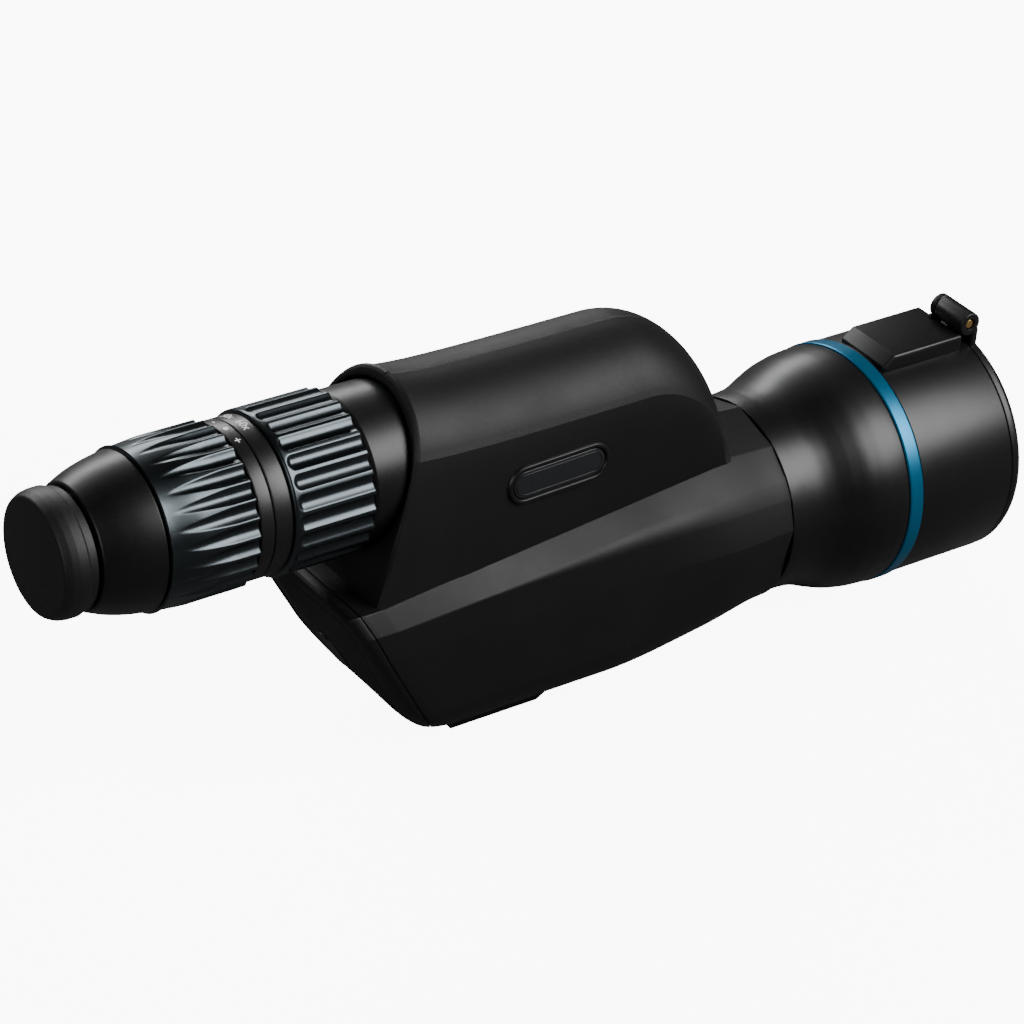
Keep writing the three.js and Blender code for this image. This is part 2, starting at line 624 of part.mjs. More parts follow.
function makeRearEnd() {
  const plug = slanted(rod(-0.2, 1.6, PLUG_RADIUS, 36), PLUG_HEIGHT, 0.4);
  const socket = slanted(rod(-6, 2.1, PLUG_RADIUS + CLEAR, 36), PLUG_HEIGHT, 0.4);
  place(objective, 'rear_plate', cut(rearPanel(REAR_BORDER, 0.4, 1.8 + REAR_PLATE), socket), armour);
  place(objective, 'rear_plug', plug, plastic);
  const carrierStart = REAR_PLATE + 3.4;
  const carrier = cut(slanted(rod(0, 3, MIRROR_RADIUS + 2.5), MIRROR_HEIGHT, carrierStart),
    slanted(rod(-2, 1, 9), MIRROR_HEIGHT, carrierStart));
  place(objective, 'mirror_carrier', carrier, black);
  const disc = slanted(rod(3 + CLEAR, 8, MIRROR_RADIUS), MIRROR_HEIGHT, carrierStart);
  place(objective, 'fold_mirror', disc, mirror);
}

function makeInnerOptics() {
  const start = BARREL_END + 12;
  const length = 34;
  const prismHalf = 17;
  const low = EYEPIECE_RISE - prismHalf;
  const high = EYEPIECE_RISE + prismHalf;
  const side = [[0, low], [length, low + 10], [length, high - 6], [length - 10, high], [0, high]];
  const wedge = new THREE.Shape(side.map(([x, z]) => new THREE.Vector2(start + x, z)));
  const glassBlock = new THREE.ExtrudeGeometry(wedge, { depth: 2 * prismHalf, bevelEnabled: false });
  // shape X stays X, shape Y becomes Z and the depth runs along -Y
  const prism = solid(glassBlock.rotateX(Math.PI / 2).translate(0, prismHalf, 0));
  place(objective, 'erecting_prism', prism, glass);
  const frame = box(start - 1, start + length + 1, -prismHalf - 3, prismHalf + 3, low - 4, low + 24);
  const bay = box(start - CLEAR, start + length + CLEAR, -prismHalf - CLEAR, prismHalf + CLEAR,
    low - CLEAR, high);
  const window = box(start - 5, start + length - 4, -prismHalf + 3, prismHalf - 3, low - 10, high);
  place(objective, 'prism_cradle', cut(frame, bay, window), black);
  const baffle = turned([
    [TAPER_START - 50, 20], [BODY_END - 14, 30], [BODY_END - 14, 31.5], [BODY_END - 12, 31.5],
    [BODY_END - 12, 33], [BODY_END - 15.5, 33], [BODY_END - 15.5, 31.5], [TAPER_START - 50, 21.5],
  ]);
  place(objective, 'light_baffle', baffle, black);
}

function makeFoot() {
  const z0 = -OBJECTIVE_AXIS;
  const [length, half] = PLATE_SIZE;
  const stations = [FOOT_STATION - THREAD_OFFSET, FOOT_STATION + THREAD_OFFSET];
  const holes = stations.map((x) => upright(5, z0 - 1, PLATE_Z + 1, x));
  const plate = box(FOOT_STATION - length / 2, FOOT_STATION + length / 2, -half, half, z0, PLATE_Z);
  const corners = [4 - half, half - 4];
  const seats = corners.map((y) => upright(2.4, z0 - 1, PLATE_Z + 1, FOOT_STATION, y, 20));
  place(objective, 'tripod_plate', cut(plate, ...holes, ...seats), black);
  corners.forEach((y, i) => {
    const head = upright(2.4 - CLEAR, z0 + 0.6, PLATE_Z, FOOT_STATION, y, 20);
    const slot = upright(1.1, z0 - 1, z0 + 1.8, FOOT_STATION, y, 6);
    place(objective, `plate_screw_${i + 1}`, cut(head, slot), steel);
  });
  const insert = (name, offset, bore) => {
    const x = FOOT_STATION + offset;
    const sleeve = upright(5 - CLEAR, z0 + 0.2, PLATE_Z + 7, x);
    place(objective, name, cut(sleeve, upright(bore, z0 - 1, PLATE_Z + 5, x)), brass);
  };
  insert('quarter_inch_insert', THREAD_OFFSET, 3);
  insert('index_pin_bush', -THREAD_OFFSET, 2.2);
}

// ---- objective end ------------------------------------------------------------------------
const TRIM_END = TRIM_START + TRIM_WIDTH;
const SHADE_START = TRIM_END + CLEAR;
const SHADE_END = SHADE_START + SHADE_LENGTH;
const SHADE_BORE = SHADE_RADIUS - SHADE_WALL;
const CELL_OUTER = SHADE_BORE - CLEAR;
const COVER_START = SHADE_END + CLEAR;
const COVER_END = COVER_START + COVER_THICKNESS;

function makeBell() {
  const start = BODY_END + CLEAR;
  const end = TRIM_START - CLEAR;
  const length = end - start;
  const spigot = TUBE_RADIUS - WALL - CLEAR;
  const flare = [[0, 0], [0.3, 0.1], [0.42, 0.28], [0.54, 0.55], [0.66, 0.8], [0.8, 0.94], [1, 1]];
  const outer = flare.map(([x, out]) => [start + x * length, mix(BELL_NECK_RADIUS, BELL_RADIUS, out)]);
  const inner = outer.map(([x, r]) => [x, Math.min(r - WALL, CELL_OUTER)]);
  place(objective, 'bell_housing', turned([
    [start - 10, spigot - 2], ...inner, ...outer.reverse(), [start, spigot], [start - 10, spigot],
  ], SHOWN_SIDES), black);
  place(objective, 'trim_ring', turned([
    [TRIM_START, CELL_OUTER + CLEAR], [TRIM_END, CELL_OUTER + CLEAR], [TRIM_END, TRIM_RADIUS - 0.5],
    [TRIM_END - 0.6, TRIM_RADIUS], [TRIM_START + 0.6, TRIM_RADIUS], [TRIM_START, TRIM_RADIUS - 0.5],
  ], SHOWN_SIDES), blue);
}

function makeShade() {
  const shade = tube(SHADE_START, SHADE_END, SHADE_BORE, SHADE_RADIUS, SHOWN_SIDES);
  place(objective, 'objective_shade', shade, black);
  const bore = LENS_RADIUS + CLEAR;
  place(objective, 'objective_cell', turned([
    [TRIM_START, bore - 2.4], [LENS_STATION - 4, bore - 2.4], [LENS_STATION - 4, bore],
    [LENS_STATION + 17, bore], [LENS_STATION + 17, CELL_OUTER], [TRIM_START, CELL_OUTER],
  ], SHOWN_SIDES), black);
  place(objective, 'objective_rear_lens', turned([
    [LENS_STATION + 1, 0], [LENS_STATION - 1, 22], [LENS_STATION - 3.6, LENS_RADIUS],
    [LENS_STATION + 4, LENS_RADIUS], [LENS_STATION + 3.2, 22], [LENS_STATION + 3, 0],
  ]), glass);
  const spacer = LENS_STATION + 4 + CLEAR;
  place(objective, 'lens_spacer', tube(spacer, spacer + 1.2, LENS_RADIUS - 2.2, LENS_RADIUS), black);
  const front = spacer + 1.2 + CLEAR;
  place(objective, 'objective_front_lens', turned([
    [front - 1.4, 0], [front - 0.9, 22], [front, LENS_RADIUS], [front + 3, LENS_RADIUS], [front + 6.2, 22],
    [front + 7.4, 0],
  ]), glass);
  const lock = tube(front + 3.9, front + 6.9, LENS_RADIUS - 2.6, LENS_RADIUS);
  place(objective, 'objective_lock_ring', lock, black);
}

// Flip-up cover: a dished disc with a long hinge knuckle above it
function makeCover() {
  const rim = SHADE_RADIUS - 0.6;
  const plug = SHADE_BORE - 0.6;
  const disc = turned([
    [COVER_START - 3, plug - 2.4], [COVER_START - 3, plug], [COVER_START, plug],
    [COVER_START, SHADE_RADIUS], [COVER_END - 2, SHADE_RADIUS], [COVER_END - 0.6, rim - 0.4],
    [COVER_END, rim - 2], [COVER_END, 0], [COVER_END - 2.6, 0], [COVER_END - 2.6, plug - 2.4],
  ].reverse(), SHOWN_SIDES);
  const near = -PLATE_HALF_WIDTH;
  const far = HINGE_SPLIT - CLEAR / 2;
  const knuckle = across(HINGE_RADIUS, near, far, HINGE_STATION, HINGE_HEIGHT);
  const arm = box(COVER_START, COVER_START + 3, near, far, SHADE_RADIUS - 6, HINGE_HEIGHT);
  const bore = across(HINGE_PIN_RADIUS + CLEAR, near - 1, far + 1, HINGE_STATION, HINGE_HEIGHT, 24);
  place(objective, 'front_cover', cut(unite(disc, knuckle, arm), bore), plastic);
  const pin = across(HINGE_PIN_RADIUS, near + 0.4, PLATE_HALF_WIDTH - 1, HINGE_STATION, HINGE_HEIGHT, 24);
  place(objective, 'hinge_pin', pin, brass);
}

function makeHingePlate() {
  const start = SHADE_START + 0.5;
  const end = start + PLATE_LENGTH;
  const low = SHADE_RADIUS * 0.92;
  const corner = (x, y, z) => new THREE.Vector3(x, y, z);
  const points = [];
  [-1, 1].forEach((side) => {
    const y = side * PLATE_HALF_WIDTH;
    points.push(corner(start, y, low), corner(end, y, low));
    points.push(corner(start + 3.5, y, PLATE_TOP - 0.6), corner(end, y, PLATE_TOP - 0.6));
    points.push(corner(start + 4, y - side, PLATE_TOP), corner(end, y - side, PLATE_TOP));
  });
  const shadeCut = rod(SHADE_START - 5, SHADE_END + 5, SHADE_RADIUS + CLEAR, SHOWN_SIDES);
  const split = HINGE_SPLIT + CLEAR / 2;
  const onHinge = (radius, y0, y1) => across(radius, y0, y1, HINGE_STATION, HINGE_HEIGHT);
  const clearance = onHinge(HINGE_RADIUS + 2 * CLEAR, -PLATE_HALF_WIDTH - 1, split);
  const lug = onHinge(HINGE_RADIUS, split, PLATE_HALF_WIDTH);
  const web = box(end - 4, HINGE_STATION, split, PLATE_HALF_WIDTH, SHADE_RADIUS, HINGE_HEIGHT);
  const bore = onHinge(HINGE_PIN_RADIUS + CLEAR, 0, PLATE_HALF_WIDTH - 1 + CLEAR);
  place(objective, 'hinge_plate', cut(unite(hull(points), lug, web), clearance, shadeCut, bore), plastic);
}

function makeBadge() {
  place(objective, 'badge_plate', onBadgeFace(pill(BADGE_LENGTH, BADGE_WIDTH, 1.4), 0), badge);
}

makeCap();
makeEyecup();
makeOcularHousing();
makeFocusGroup();
makeRings();
makeCore();
makeZoomGroup();
makeShells();
makeRearEnd();
makeInnerOptics();
makeFoot();
makeBell();
makeShade();
makeCover();
makeHingePlate();
makeBadge();

export default scope;
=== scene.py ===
"""Looks of the spotting scope: fine shells, rings and lenses, their materials, the lights and the camera."""
import math

import bmesh
import bpy
from mathutils import Matrix, Vector


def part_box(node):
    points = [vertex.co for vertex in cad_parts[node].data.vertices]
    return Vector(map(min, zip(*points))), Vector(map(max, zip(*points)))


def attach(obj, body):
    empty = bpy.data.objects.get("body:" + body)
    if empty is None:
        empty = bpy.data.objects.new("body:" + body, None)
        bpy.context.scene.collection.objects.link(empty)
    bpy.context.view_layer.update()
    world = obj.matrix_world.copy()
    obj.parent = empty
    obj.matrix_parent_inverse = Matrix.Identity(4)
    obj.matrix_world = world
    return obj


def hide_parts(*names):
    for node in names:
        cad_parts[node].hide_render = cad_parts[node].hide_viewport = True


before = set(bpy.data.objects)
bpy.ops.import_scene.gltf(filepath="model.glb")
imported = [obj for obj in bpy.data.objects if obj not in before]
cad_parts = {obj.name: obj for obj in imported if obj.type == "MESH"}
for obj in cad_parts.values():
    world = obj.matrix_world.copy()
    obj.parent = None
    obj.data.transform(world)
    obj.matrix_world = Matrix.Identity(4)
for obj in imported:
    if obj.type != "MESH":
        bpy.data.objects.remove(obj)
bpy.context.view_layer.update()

MM = 0.001
BODY = "scope_body"


# ---- places, all worked out from the frame -------------------------------------------------
def corners(node):
    low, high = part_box(node)
    return Vector(low), Vector(high)


def axis_height(node):
    low, high = corners(node)
    return (low.z + high.z) / 2


REAR_X = corners("eyepiece_cap")[0].x
EYE_Z = axis_height("focus_ring")
OBJECTIVE_Z = axis_height("trim_ring")
EYEPIECE_RISE = (EYE_Z - OBJECTIVE_Z) / MM


def station(x):
    """Metres along the scope for a distance in mm from the eyepiece cap's rear face."""
    return REAR_X + x * MM


def reading(x):
    """The distance in mm from the cap's rear face for a place in metres."""
    return (x - REAR_X) / MM


def ends(node):
    """First and last station of a node, in mm."""
    low, high = corners(node)
    return reading(low.x), reading(high.x)


def place(x, y, z):
    """A point from its station, its side and its height over the objective's axis, all in mm."""
    return Vector((station(x), y * MM, OBJECTIVE_Z + z * MM))


def mix(a, b, t):
    return a + (b - a) * t


def clamp(t):
    return min(max(t, 0.0), 1.0)


def ease(t):
    t = clamp(t)
    return t * t * (3 - 2 * t)


# ---- node building -------------------------------------------------------------------------
class Wiring:
    """Adds nodes to one tree and links their sockets."""

    def __init__(self, tree):
        self.tree = tree

    def node(self, kind, inputs=(), **settings):
        node = self.tree.nodes.new(kind)
        for key, value in settings.items():
            setattr(node, key, value)
        for key, value in dict(inputs).items():
            self.feed(node.inputs[key], value)
        return node

    def feed(self, socket, value):
        if isinstance(value, bpy.types.NodeSocket):
            self.tree.links.new(value, socket)
        else:
            socket.default_value = value

    def math(self, operation, first, second=0.0, third=None):
        inputs = {0: first, 1: second}
        if third is not None:
            inputs[2] = third
        return self.node("ShaderNodeMath", inputs, operation=operation).outputs[0]

    def remap(self, value, low, high, to_low=0.0, to_high=1.0):
        limits = {"Value": value, "From Min": low, "From Max": high, "To Min": to_low, "To Max": to_high}
        return self.node("ShaderNodeMapRange", limits).outputs[0]

    def blend(self, factor, first, second):
        node = self.node("ShaderNodeMix", data_type="RGBA")
        self.feed(node.inputs[0], factor)
        self.feed(node.inputs[6], first)
        self.feed(node.inputs[7], second)
        return node.outputs[2]


def new_group(name, inputs, outputs, kind="ShaderNodeTree"):
    """A node group with named inputs (name, socket type, value) and outputs (name, socket type)."""
    tree = bpy.data.node_groups.new(name, kind)
    for label, socket_type, value in inputs:
        socket = tree.interface.new_socket(label, in_out="INPUT", socket_type=socket_type)
        if value is not None:
            socket.default_value = value
    for label, socket_type in outputs:
        tree.interface.new_socket(label, in_out="OUTPUT", socket_type=socket_type)
    source = tree.nodes.new("NodeGroupInput")
    sink = tree.nodes.new("NodeGroupOutput")
    return tree, Wiring(tree), source.outputs, sink.inputs


# ---- effects shared by several finishes ----------------------------------------------------
FINE_SHARE = 0.35  # of the pebbles in how the gloss changes; slow blotches have the rest


def moulded_grain():
    """Pebble-like skin of a moulded surface, with slow changes of gloss across it."""
    inputs = [("Grain per metre", "NodeSocketFloat", 2500.0), ("Sheen low", "NodeSocketFloat", 0.4),
              ("Sheen high", "NodeSocketFloat", 0.55)]
    tree, wires, source, sink = new_group(
        "moulded grain", inputs, [("Height", "NodeSocketFloat"), ("Roughness", "NodeSocketFloat")])
    here = wires.node("ShaderNodeTexCoord").outputs["Object"]
    pebbles = wires.node("ShaderNodeTexNoise", {"Vector": here, "Scale": source[0], "Detail": 3.0})
    blotches = wires.node("ShaderNodeTexNoise", {"Vector": here, "Scale": 38.0, "Detail": 5.0})
    wires.feed(sink[0], pebbles.outputs[0])
    fine = wires.math("MULTIPLY", pebbles.outputs[0], FINE_SHARE)
    mixed = wires.math("ADD", fine, wires.math("MULTIPLY", blotches.outputs[0], 1 - FINE_SHARE))
    wires.feed(sink[1], wires.remap(mixed, 0.3, 0.7, source[1], source[2]))
    return tree


def turned_lines():
    """Very fine rings left by the lathe, square to the scope's length."""
    inputs = [("Lines per metre", "NodeSocketFloat", 900.0)]
    tree, wires, source, sink = new_group("turned lines", inputs, [("Height", "NodeSocketFloat")])
    here = wires.node("ShaderNodeTexCoord").outputs["Object"]
    stretch = wires.node("ShaderNodeMapping", {"Vector": here, "Scale": (1.0, 0.02, 0.02)})
    lines = wires.node("ShaderNodeTexNoise", {"Vector": stretch.outputs[0], "Scale": source[0], "Detail": 2.0})
    wires.feed(sink[0], lines.outputs[0])
    return tree


def edge_wear():
    """Where raised edges have been rubbed."""
    inputs = [("Amount", "NodeSocketFloat", 0.5)]
    tree, wires, source, sink = new_group("edge wear", inputs, [("Mask", "NodeSocketFloat")])
    raised = wires.node("ShaderNodeNewGeometry").outputs["Pointiness"]
    edge = wires.remap(raised, 0.53, 0.62)
    here = wires.node("ShaderNodeTexCoord").outputs["Object"]
    patches = wires.node("ShaderNodeTexNoise", {"Vector": here, "Scale": 160.0, "Detail": 6.0})
    broken = wires.math("MULTIPLY", edge, wires.remap(patches.outputs[0], 0.42, 0.66))
    wires.feed(sink[0], wires.math("MULTIPLY", broken, source[0]))
    return tree


def settled_dust():
    """Thin dust on what faces up."""
    inputs = [("Amount", "NodeSocketFloat", 0.1)]
    tree, wires, source, sink = new_group("settled dust", inputs, [("Mask", "NodeSocketFloat")])
    normal = wires.node("ShaderNodeNewGeometry").outputs["Normal"]
    up = wires.node("ShaderNodeSeparateXYZ", {0: normal}).outputs[2]
    here = wires.node("ShaderNodeTexCoord").outputs["Object"]
    specks = wires.node("ShaderNodeTexNoise", {"Vector": here, "Scale": 900.0, "Detail": 4.0})
    drift = wires.node("ShaderNodeTexNoise", {"Vector": here, "Scale": 22.0, "Detail": 3.0})
    speckled = wires.math("MULTIPLY", wires.remap(specks.outputs[0], 0.5, 0.72), wires.remap(up, 0.2, 1.0))
    drifted = wires.math("MULTIPLY", speckled, wires.remap(drift.outputs[0], 0.35, 0.65))
    wires.feed(sink[0], wires.math("MULTIPLY", drifted, source[0]))
    return tree


GRAIN = moulded_grain()
LATHE_LINES = turned_lines()
WEAR = edge_wear()
DUST = settled_dust()
DUST_COLOUR = (0.23, 0.21, 0.19, 1.0)


def finish(name, colour, sheen, grain=2500.0, bump=0.02, metal=0.0, wear=0.3, worn=None, dust=0.1,
           lines=0.0, gloss=0.5, **sockets):
    """One material: a coloured surface with grain, rubbed edges and a little dust."""
    material = bpy.data.materials.new(name)
    material.use_nodes = True
    tree = material.node_tree
    tree.nodes.clear()
    wires = Wiring(tree)
    output = wires.node("ShaderNodeOutputMaterial")
    surface = wires.node("ShaderNodeBsdfPrincipled", {"Metallic": metal, "Specular IOR Level": gloss})
    for label, value in sockets.items():
        surface.inputs[label.replace("_", " ")].default_value = value
    skin = wires.node("ShaderNodeGroup", node_tree=GRAIN)
    for label, value in zip(("Grain per metre", "Sheen low", "Sheen high"), (grain, *sheen)):
        skin.inputs[label].default_value = value
    base = (*colour, 1.0)
    rubbed = (*(worn or [channel * 2.6 for channel in colour]), 1.0)
    wear_node = wires.node("ShaderNodeGroup", node_tree=WEAR)
    wear_node.inputs["Amount"].default_value = wear
    dust_node = wires.node("ShaderNodeGroup", node_tree=DUST)
    dust_node.inputs["Amount"].default_value = dust
    tinted = wires.blend(wear_node.outputs[0], base, rubbed)
    wires.feed(surface.inputs["Base Color"], wires.blend(dust_node.outputs[0], tinted, DUST_COLOUR))
    rough = wires.math("ADD", skin.outputs["Roughness"], wires.math("MULTIPLY", dust_node.outputs[0], 0.3))
    wires.feed(surface.inputs["Roughness"], rough)
    height = skin.outputs["Height"]
    if lines:
        rings = wires.node("ShaderNodeGroup", node_tree=LATHE_LINES)
        height = wires.math("ADD", height, wires.math("MULTIPLY", rings.outputs[0], lines))
    relief = wires.node("ShaderNodeBump", {"Strength": 1.0, "Distance": bump * MM, "Height": height})
    wires.feed(surface.inputs["Normal"], relief.outputs[0])
    wires.feed(output.inputs["Surface"], surface.outputs[0])
    return material


ARMOUR = finish("armour rubber", (0.0035, 0.0035, 0.0036), (0.5, 0.6), grain=2600, bump=0.04,
                wear=0.3, dust=0.02, gloss=0.32)
CAP_RUBBER = finish("cap rubber", (0.006, 0.006, 0.006), (0.46, 0.56), grain=1800, bump=0.02,
                    wear=0.3, dust=0.05, gloss=0.4)
SATIN = finish("satin black paint", (0.0025, 0.0025, 0.0026), (0.33, 0.41), grain=3200, bump=0.008, wear=0.35,
               dust=0.02, gloss=0.4)
PLASTIC = finish("black moulding", (0.003, 0.003, 0.0031), (0.34, 0.44), grain=3600, bump=0.012,
                 wear=0.3, dust=0.03, gloss=0.4)
GLOSSY = finish("polished black", (0.003, 0.003, 0.003), (0.1, 0.2), grain=900, bump=0.004, wear=0.1,
                dust=0.02)
GUNMETAL = finish("gunmetal anodising", (0.06, 0.07, 0.076), (0.27, 0.35), grain=5200, bump=0.006, metal=1.0,
                  wear=0.6, worn=(0.22, 0.235, 0.25), dust=0.02)
BLUE = finish("blue anodising", (0.004, 0.13, 0.25), (0.3, 0.4), grain=4200, bump=0.005, metal=0.65, wear=0.3,
              worn=(0.1, 0.32, 0.46), dust=0.05, lines=0.6)
BAND = finish("black band", (0.004, 0.004, 0.0042), (0.34, 0.44), grain=4200, bump=0.006, wear=0.3,
              dust=0.02, lines=0.8)
BLACK_METAL = finish("black anodising", (0.012, 0.012, 0.012), (0.42, 0.55), grain=4200, bump=0.006,
                     metal=0.3, wear=0.4, worn=(0.2, 0.2, 0.2), dust=0.04, lines=1.0)
STEEL = finish("turned steel", (0.5, 0.5, 0.51), (0.25, 0.35), grain=3000, bump=0.004, metal=1.0, wear=0.2,
               worn=(0.7, 0.7, 0.7), dust=0.03, lines=1.0)
BRASS = finish("turned brass", (0.62, 0.4, 0.14), (0.22, 0.34), grain=3000, bump=0.004, metal=1.0, wear=0.3,
               worn=(0.85, 0.62, 0.3), dust=0.03, lines=0.8)
BADGE = finish("badge plate", (0.022, 0.023, 0.025), (0.2, 0.3), grain=5200, bump=0.003, metal=0.4,
               wear=0.3, dust=0.04)
PRINT = finish("white print", (0.88, 0.88, 0.87), (0.5, 0.6), grain=5200, bump=0.004, wear=0.0, dust=0.05)
MIRROR = finish("mirror coating", (0.86, 0.87, 0.88), (0.02, 0.05), grain=200, bump=0.0005, metal=1.0,
                wear=0.1, worn=(0.9, 0.9, 0.9), dust=0.02)
GLASS = finish("coated glass", (0.8, 0.93, 0.88), (0.01, 0.03), grain=100, bump=0.0003, wear=0.0, dust=0.03,
               Transmission_Weight=1.0, IOR=1.52, Coat_Weight=0.4, Coat_Tint=(0.45, 0.85, 0.65, 1.0))


# ---- mesh building -------------------------------------------------------------------------
def mesh_piece(name, points, faces, material, body=BODY, replaces=(), slot=None, crease=38.0):
    """A smooth-shaded object from points in metres, riding on its body."""
    mesh = faced_mesh(name, points, faces, merge=True)
    return adopt(name, mesh, material, body, replaces, crease)


def adopt(name, mesh, material, body=BODY, replaces=(), crease=38.0):
    """Put a finished mesh in the scene as a piece of the scope."""
    mesh.shade_smooth()
    mesh.set_sharp_from_angle(angle=math.radians(crease))
    mesh.materials.clear()
    mesh.materials.append(material)
    piece = bpy.data.objects.new(name, mesh)
    bpy.context.scene.collection.objects.link(piece)
    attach(piece, body)
    if replaces:
        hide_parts(*replaces)
    return piece


def temporary(name, data):
    """An object for the tools to work on, which baked() takes away again."""
    holder = bpy.data.objects.new(name, data)
    bpy.context.scene.collection.objects.link(holder)
    return holder


def faced_mesh(name, points, faces, merge=False):
    """A mesh from points in metres with its faces turned outwards."""
    mesh = bpy.data.meshes.new(name)
    mesh.from_pydata([tuple(point) for point in points], [], faces)
    shape = bmesh.new()
    shape.from_mesh(mesh)
    if merge:
        bmesh.ops.remove_doubles(shape, verts=shape.verts, dist=1e-7)
    bmesh.ops.recalc_face_normals(shape, faces=shape.faces)
    shape.to_mesh(mesh)
    shape.free()
    return mesh


def baked(piece):
    """The plain mesh a temporary object makes with its modifiers, after which the object goes."""
    bpy.context.view_layer.update()
    graph = bpy.context.evaluated_depsgraph_get()
    mesh = bpy.data.meshes.new_from_object(piece.evaluated_get(graph))
    bpy.data.objects.remove(piece)
    return mesh


STRAIGHT = 89.6  # half angle in degrees past which a corner counts as none


def rounded(path, closed=False, steps=6):
    """A path of (a, b, radius) corners with each corner turned into an arc of that radius."""
    count = len(path)
    result = []
    for i, (a, b, radius) in enumerate(path):
        here = Vector((a, b))
        open_end = not closed and i in (0, count - 1)
        if radius <= 0 or open_end:
            result.append((a, b))
            continue
        before = Vector(path[i - 1][:2]) - here
        after = Vector(path[(i + 1) % count][:2]) - here
        half = before.angle(after) / 2
        if half > math.radians(STRAIGHT):
            near = min(before.length, after.length) / 4
            result += [tuple(here + mix(before.normalized(), after.normalized(), k / steps) * near)
                       for k in range(steps + 1)]
            continue
        reach = min(radius / math.tan(half), 0.49 * before.length, 0.49 * after.length)
        true_radius = reach * math.tan(half)
        inwards = (before.normalized() + after.normalized()).normalized()
        centre = here + inwards * (true_radius / math.sin(half))
        start = here + before.normalized() * reach - centre
        turn = start.angle_signed(here + after.normalized() * reach - centre)
        for k in range(steps + 1):
            spoke = start.copy()
            spoke.rotate(Matrix.Rotation(-turn * k / steps, 2))
            result.append(tuple(centre + spoke))
    return result


def ring_points(x, radius, axis_z, segments):
    turns = (2 * math.pi * k / segments for k in range(segments))
    reach = radius * MM
    return [Vector((station(x), -reach * math.sin(a), axis_z + reach * math.cos(a))) for a in turns]


def skin_rings(rings, close_loop=False):
    """Points and faces of a skin over rings of equal count; a ring of one point is a pole."""
    points = []
    starts = []
    for ring in rings:
        starts.append(len(points))
        points.extend(ring)
    faces = []
    pairs = list(zip(range(len(rings)), range(1, len(rings))))
    if close_loop:
        pairs.append((len(rings) - 1, 0))
    for first, second in pairs:
        count = max(len(rings[first]), len(rings[second]))
        for k in range(count):
            after = (k + 1) % count
            face = []
            for ring, place_on_ring in ((first, k), (first, after), (second, after), (second, k)):
                corner = starts[ring] + (place_on_ring if len(rings[ring]) > 1 else 0)
                if corner not in face:
                    face.append(corner)
            if len(face) > 2:
                faces.append(face)
    return points, faces


def turned(name, profile, axis_z, material, segments=128, closed=True, **piece):
    """A body of revolution from (station, radius, corner radius) in mm, closed on itself or on the axis."""
    outline = rounded(profile, closed=closed)
    rings = []
    for x, radius in outline:
        if radius < 1e-6:
            rings.append([Vector((station(x), 0, axis_z))])
        else:
            rings.append(ring_points(x, radius, axis_z, segments))
    points, faces = skin_rings(rings, close_loop=closed)
    return mesh_piece(name, points, faces, material, **piece)


def fan_centre(ring):
    middle = sum(ring, Vector()) / len(ring)
    return [middle]


# ---- eyepiece ------------------------------------------------------------------------------
def make_cap():
    start, end = ends("eyepiece_cap")
    rim = 22.1
    turned("cap", [
        (start, 0, 0), (start, 20.4, 1.6), (start + 2.6, 21.7, 2.5), (start + 5.2, rim, 2.0),
        (start + 8.6, rim, 1.0), (start + 9.3, 21.1, 0.6), (end, 20.9, 0.6), (end, 19.85, 0.2),
        (start + 2.4, 19.85, 0.6), (start + 2.4, 0, 0),
    ], EYE_Z, CAP_RUBBER, closed=False, body="cap", replaces=["eyepiece_cap"], slot="cap_rubber")


def make_eyecup():
    start, end = ends("eyecup")
    bore = 16.6
    turned("eyecup_sleeve", [
        (start, bore + 0.7, 0.4), (start, 18.6, 0.6), (start + 0.8, 19.3, 0.5), (start + 4.6, 19.3, 0.5),
        (start + 5.4, 18.75, 0.3), (start + 10.6, 18.75, 0.2), (start + 10.9, 18.3, 0.1),
        (start + 11.7, 18.3, 0.1), (start + 12.0, 18.75, 0.2), (end, 18.75, 0.3), (end, bore, 0.3),
        (start + 1.2, bore, 0.5),
    ], EYE_Z, GLOSSY, body="eyecup_tube", replaces=["eyecup"], slot="gloss_plastic")


def make_ocular_housing():
    start, end = ends("ocular_housing")
    ring_start = ends("focus_ring")[0]
    web = ends("eyecup")[1] + 0.3
    seat = ends("eye_lens")[0]
    bore = 16.3
    turned("ocular_housing_shell", [
        (start, 19.1, 0.3), (web, 19.1, 0.3), (web, bore, 0.2), (seat - 2, bore, 0.3), (seat - 2, 12.7, 0.3),
        (seat + 6, 12.7, 0.1), (seat + 6, 11.2, 0.2), (web + 2, 11.2, 0.2), (web + 2, bore, 0.3),
        (end, bore, 0.3), (end, 20.6, 0.3), (ring_start - 0.3, 20.6, 0.3), (ring_start - 0.3, 26.9, 0.3),
        (ring_start - 1.0, 27.5, 0.6), (mix(start, ring_start, 0.62), 26.4, 60),
        (mix(start, ring_start, 0.3), 24.6, 40), (start, 21.9, 1.2),
    ], EYE_Z, PLASTIC, replaces=["ocular_housing"], slot="plastic")


def ring_blank(name, start, end, radius, bore, ease_in, segments):
    """A plain ring with enough points on its outer face to take the flutes."""
    along = 56
    profile = [(start, bore, 0.2), (start, radius - 0.8, 0), (start + 0.25, radius - 0.35, 0)]
    for k in range(along + 1):
        x = mix(start + 0.6, end - 0.6, k / along)
        profile.append((x, radius - ease_in * (1 - ease((x - start) / 14)), 0))
    profile += [(end - 0.25, radius - 0.35, 0), (end, radius - 0.8, 0), (end, bore, 0.2)]
    rings = [ring_points(x, r, EYE_Z, segments) for x, r in rounded(profile, closed=True)]
    points, faces = skin_rings(rings, close_loop=True)
    return temporary(name, faced_mesh(name, points, faces))


SOFT_EDGE = 0.07 * MM  # over which a flute's edge is eased


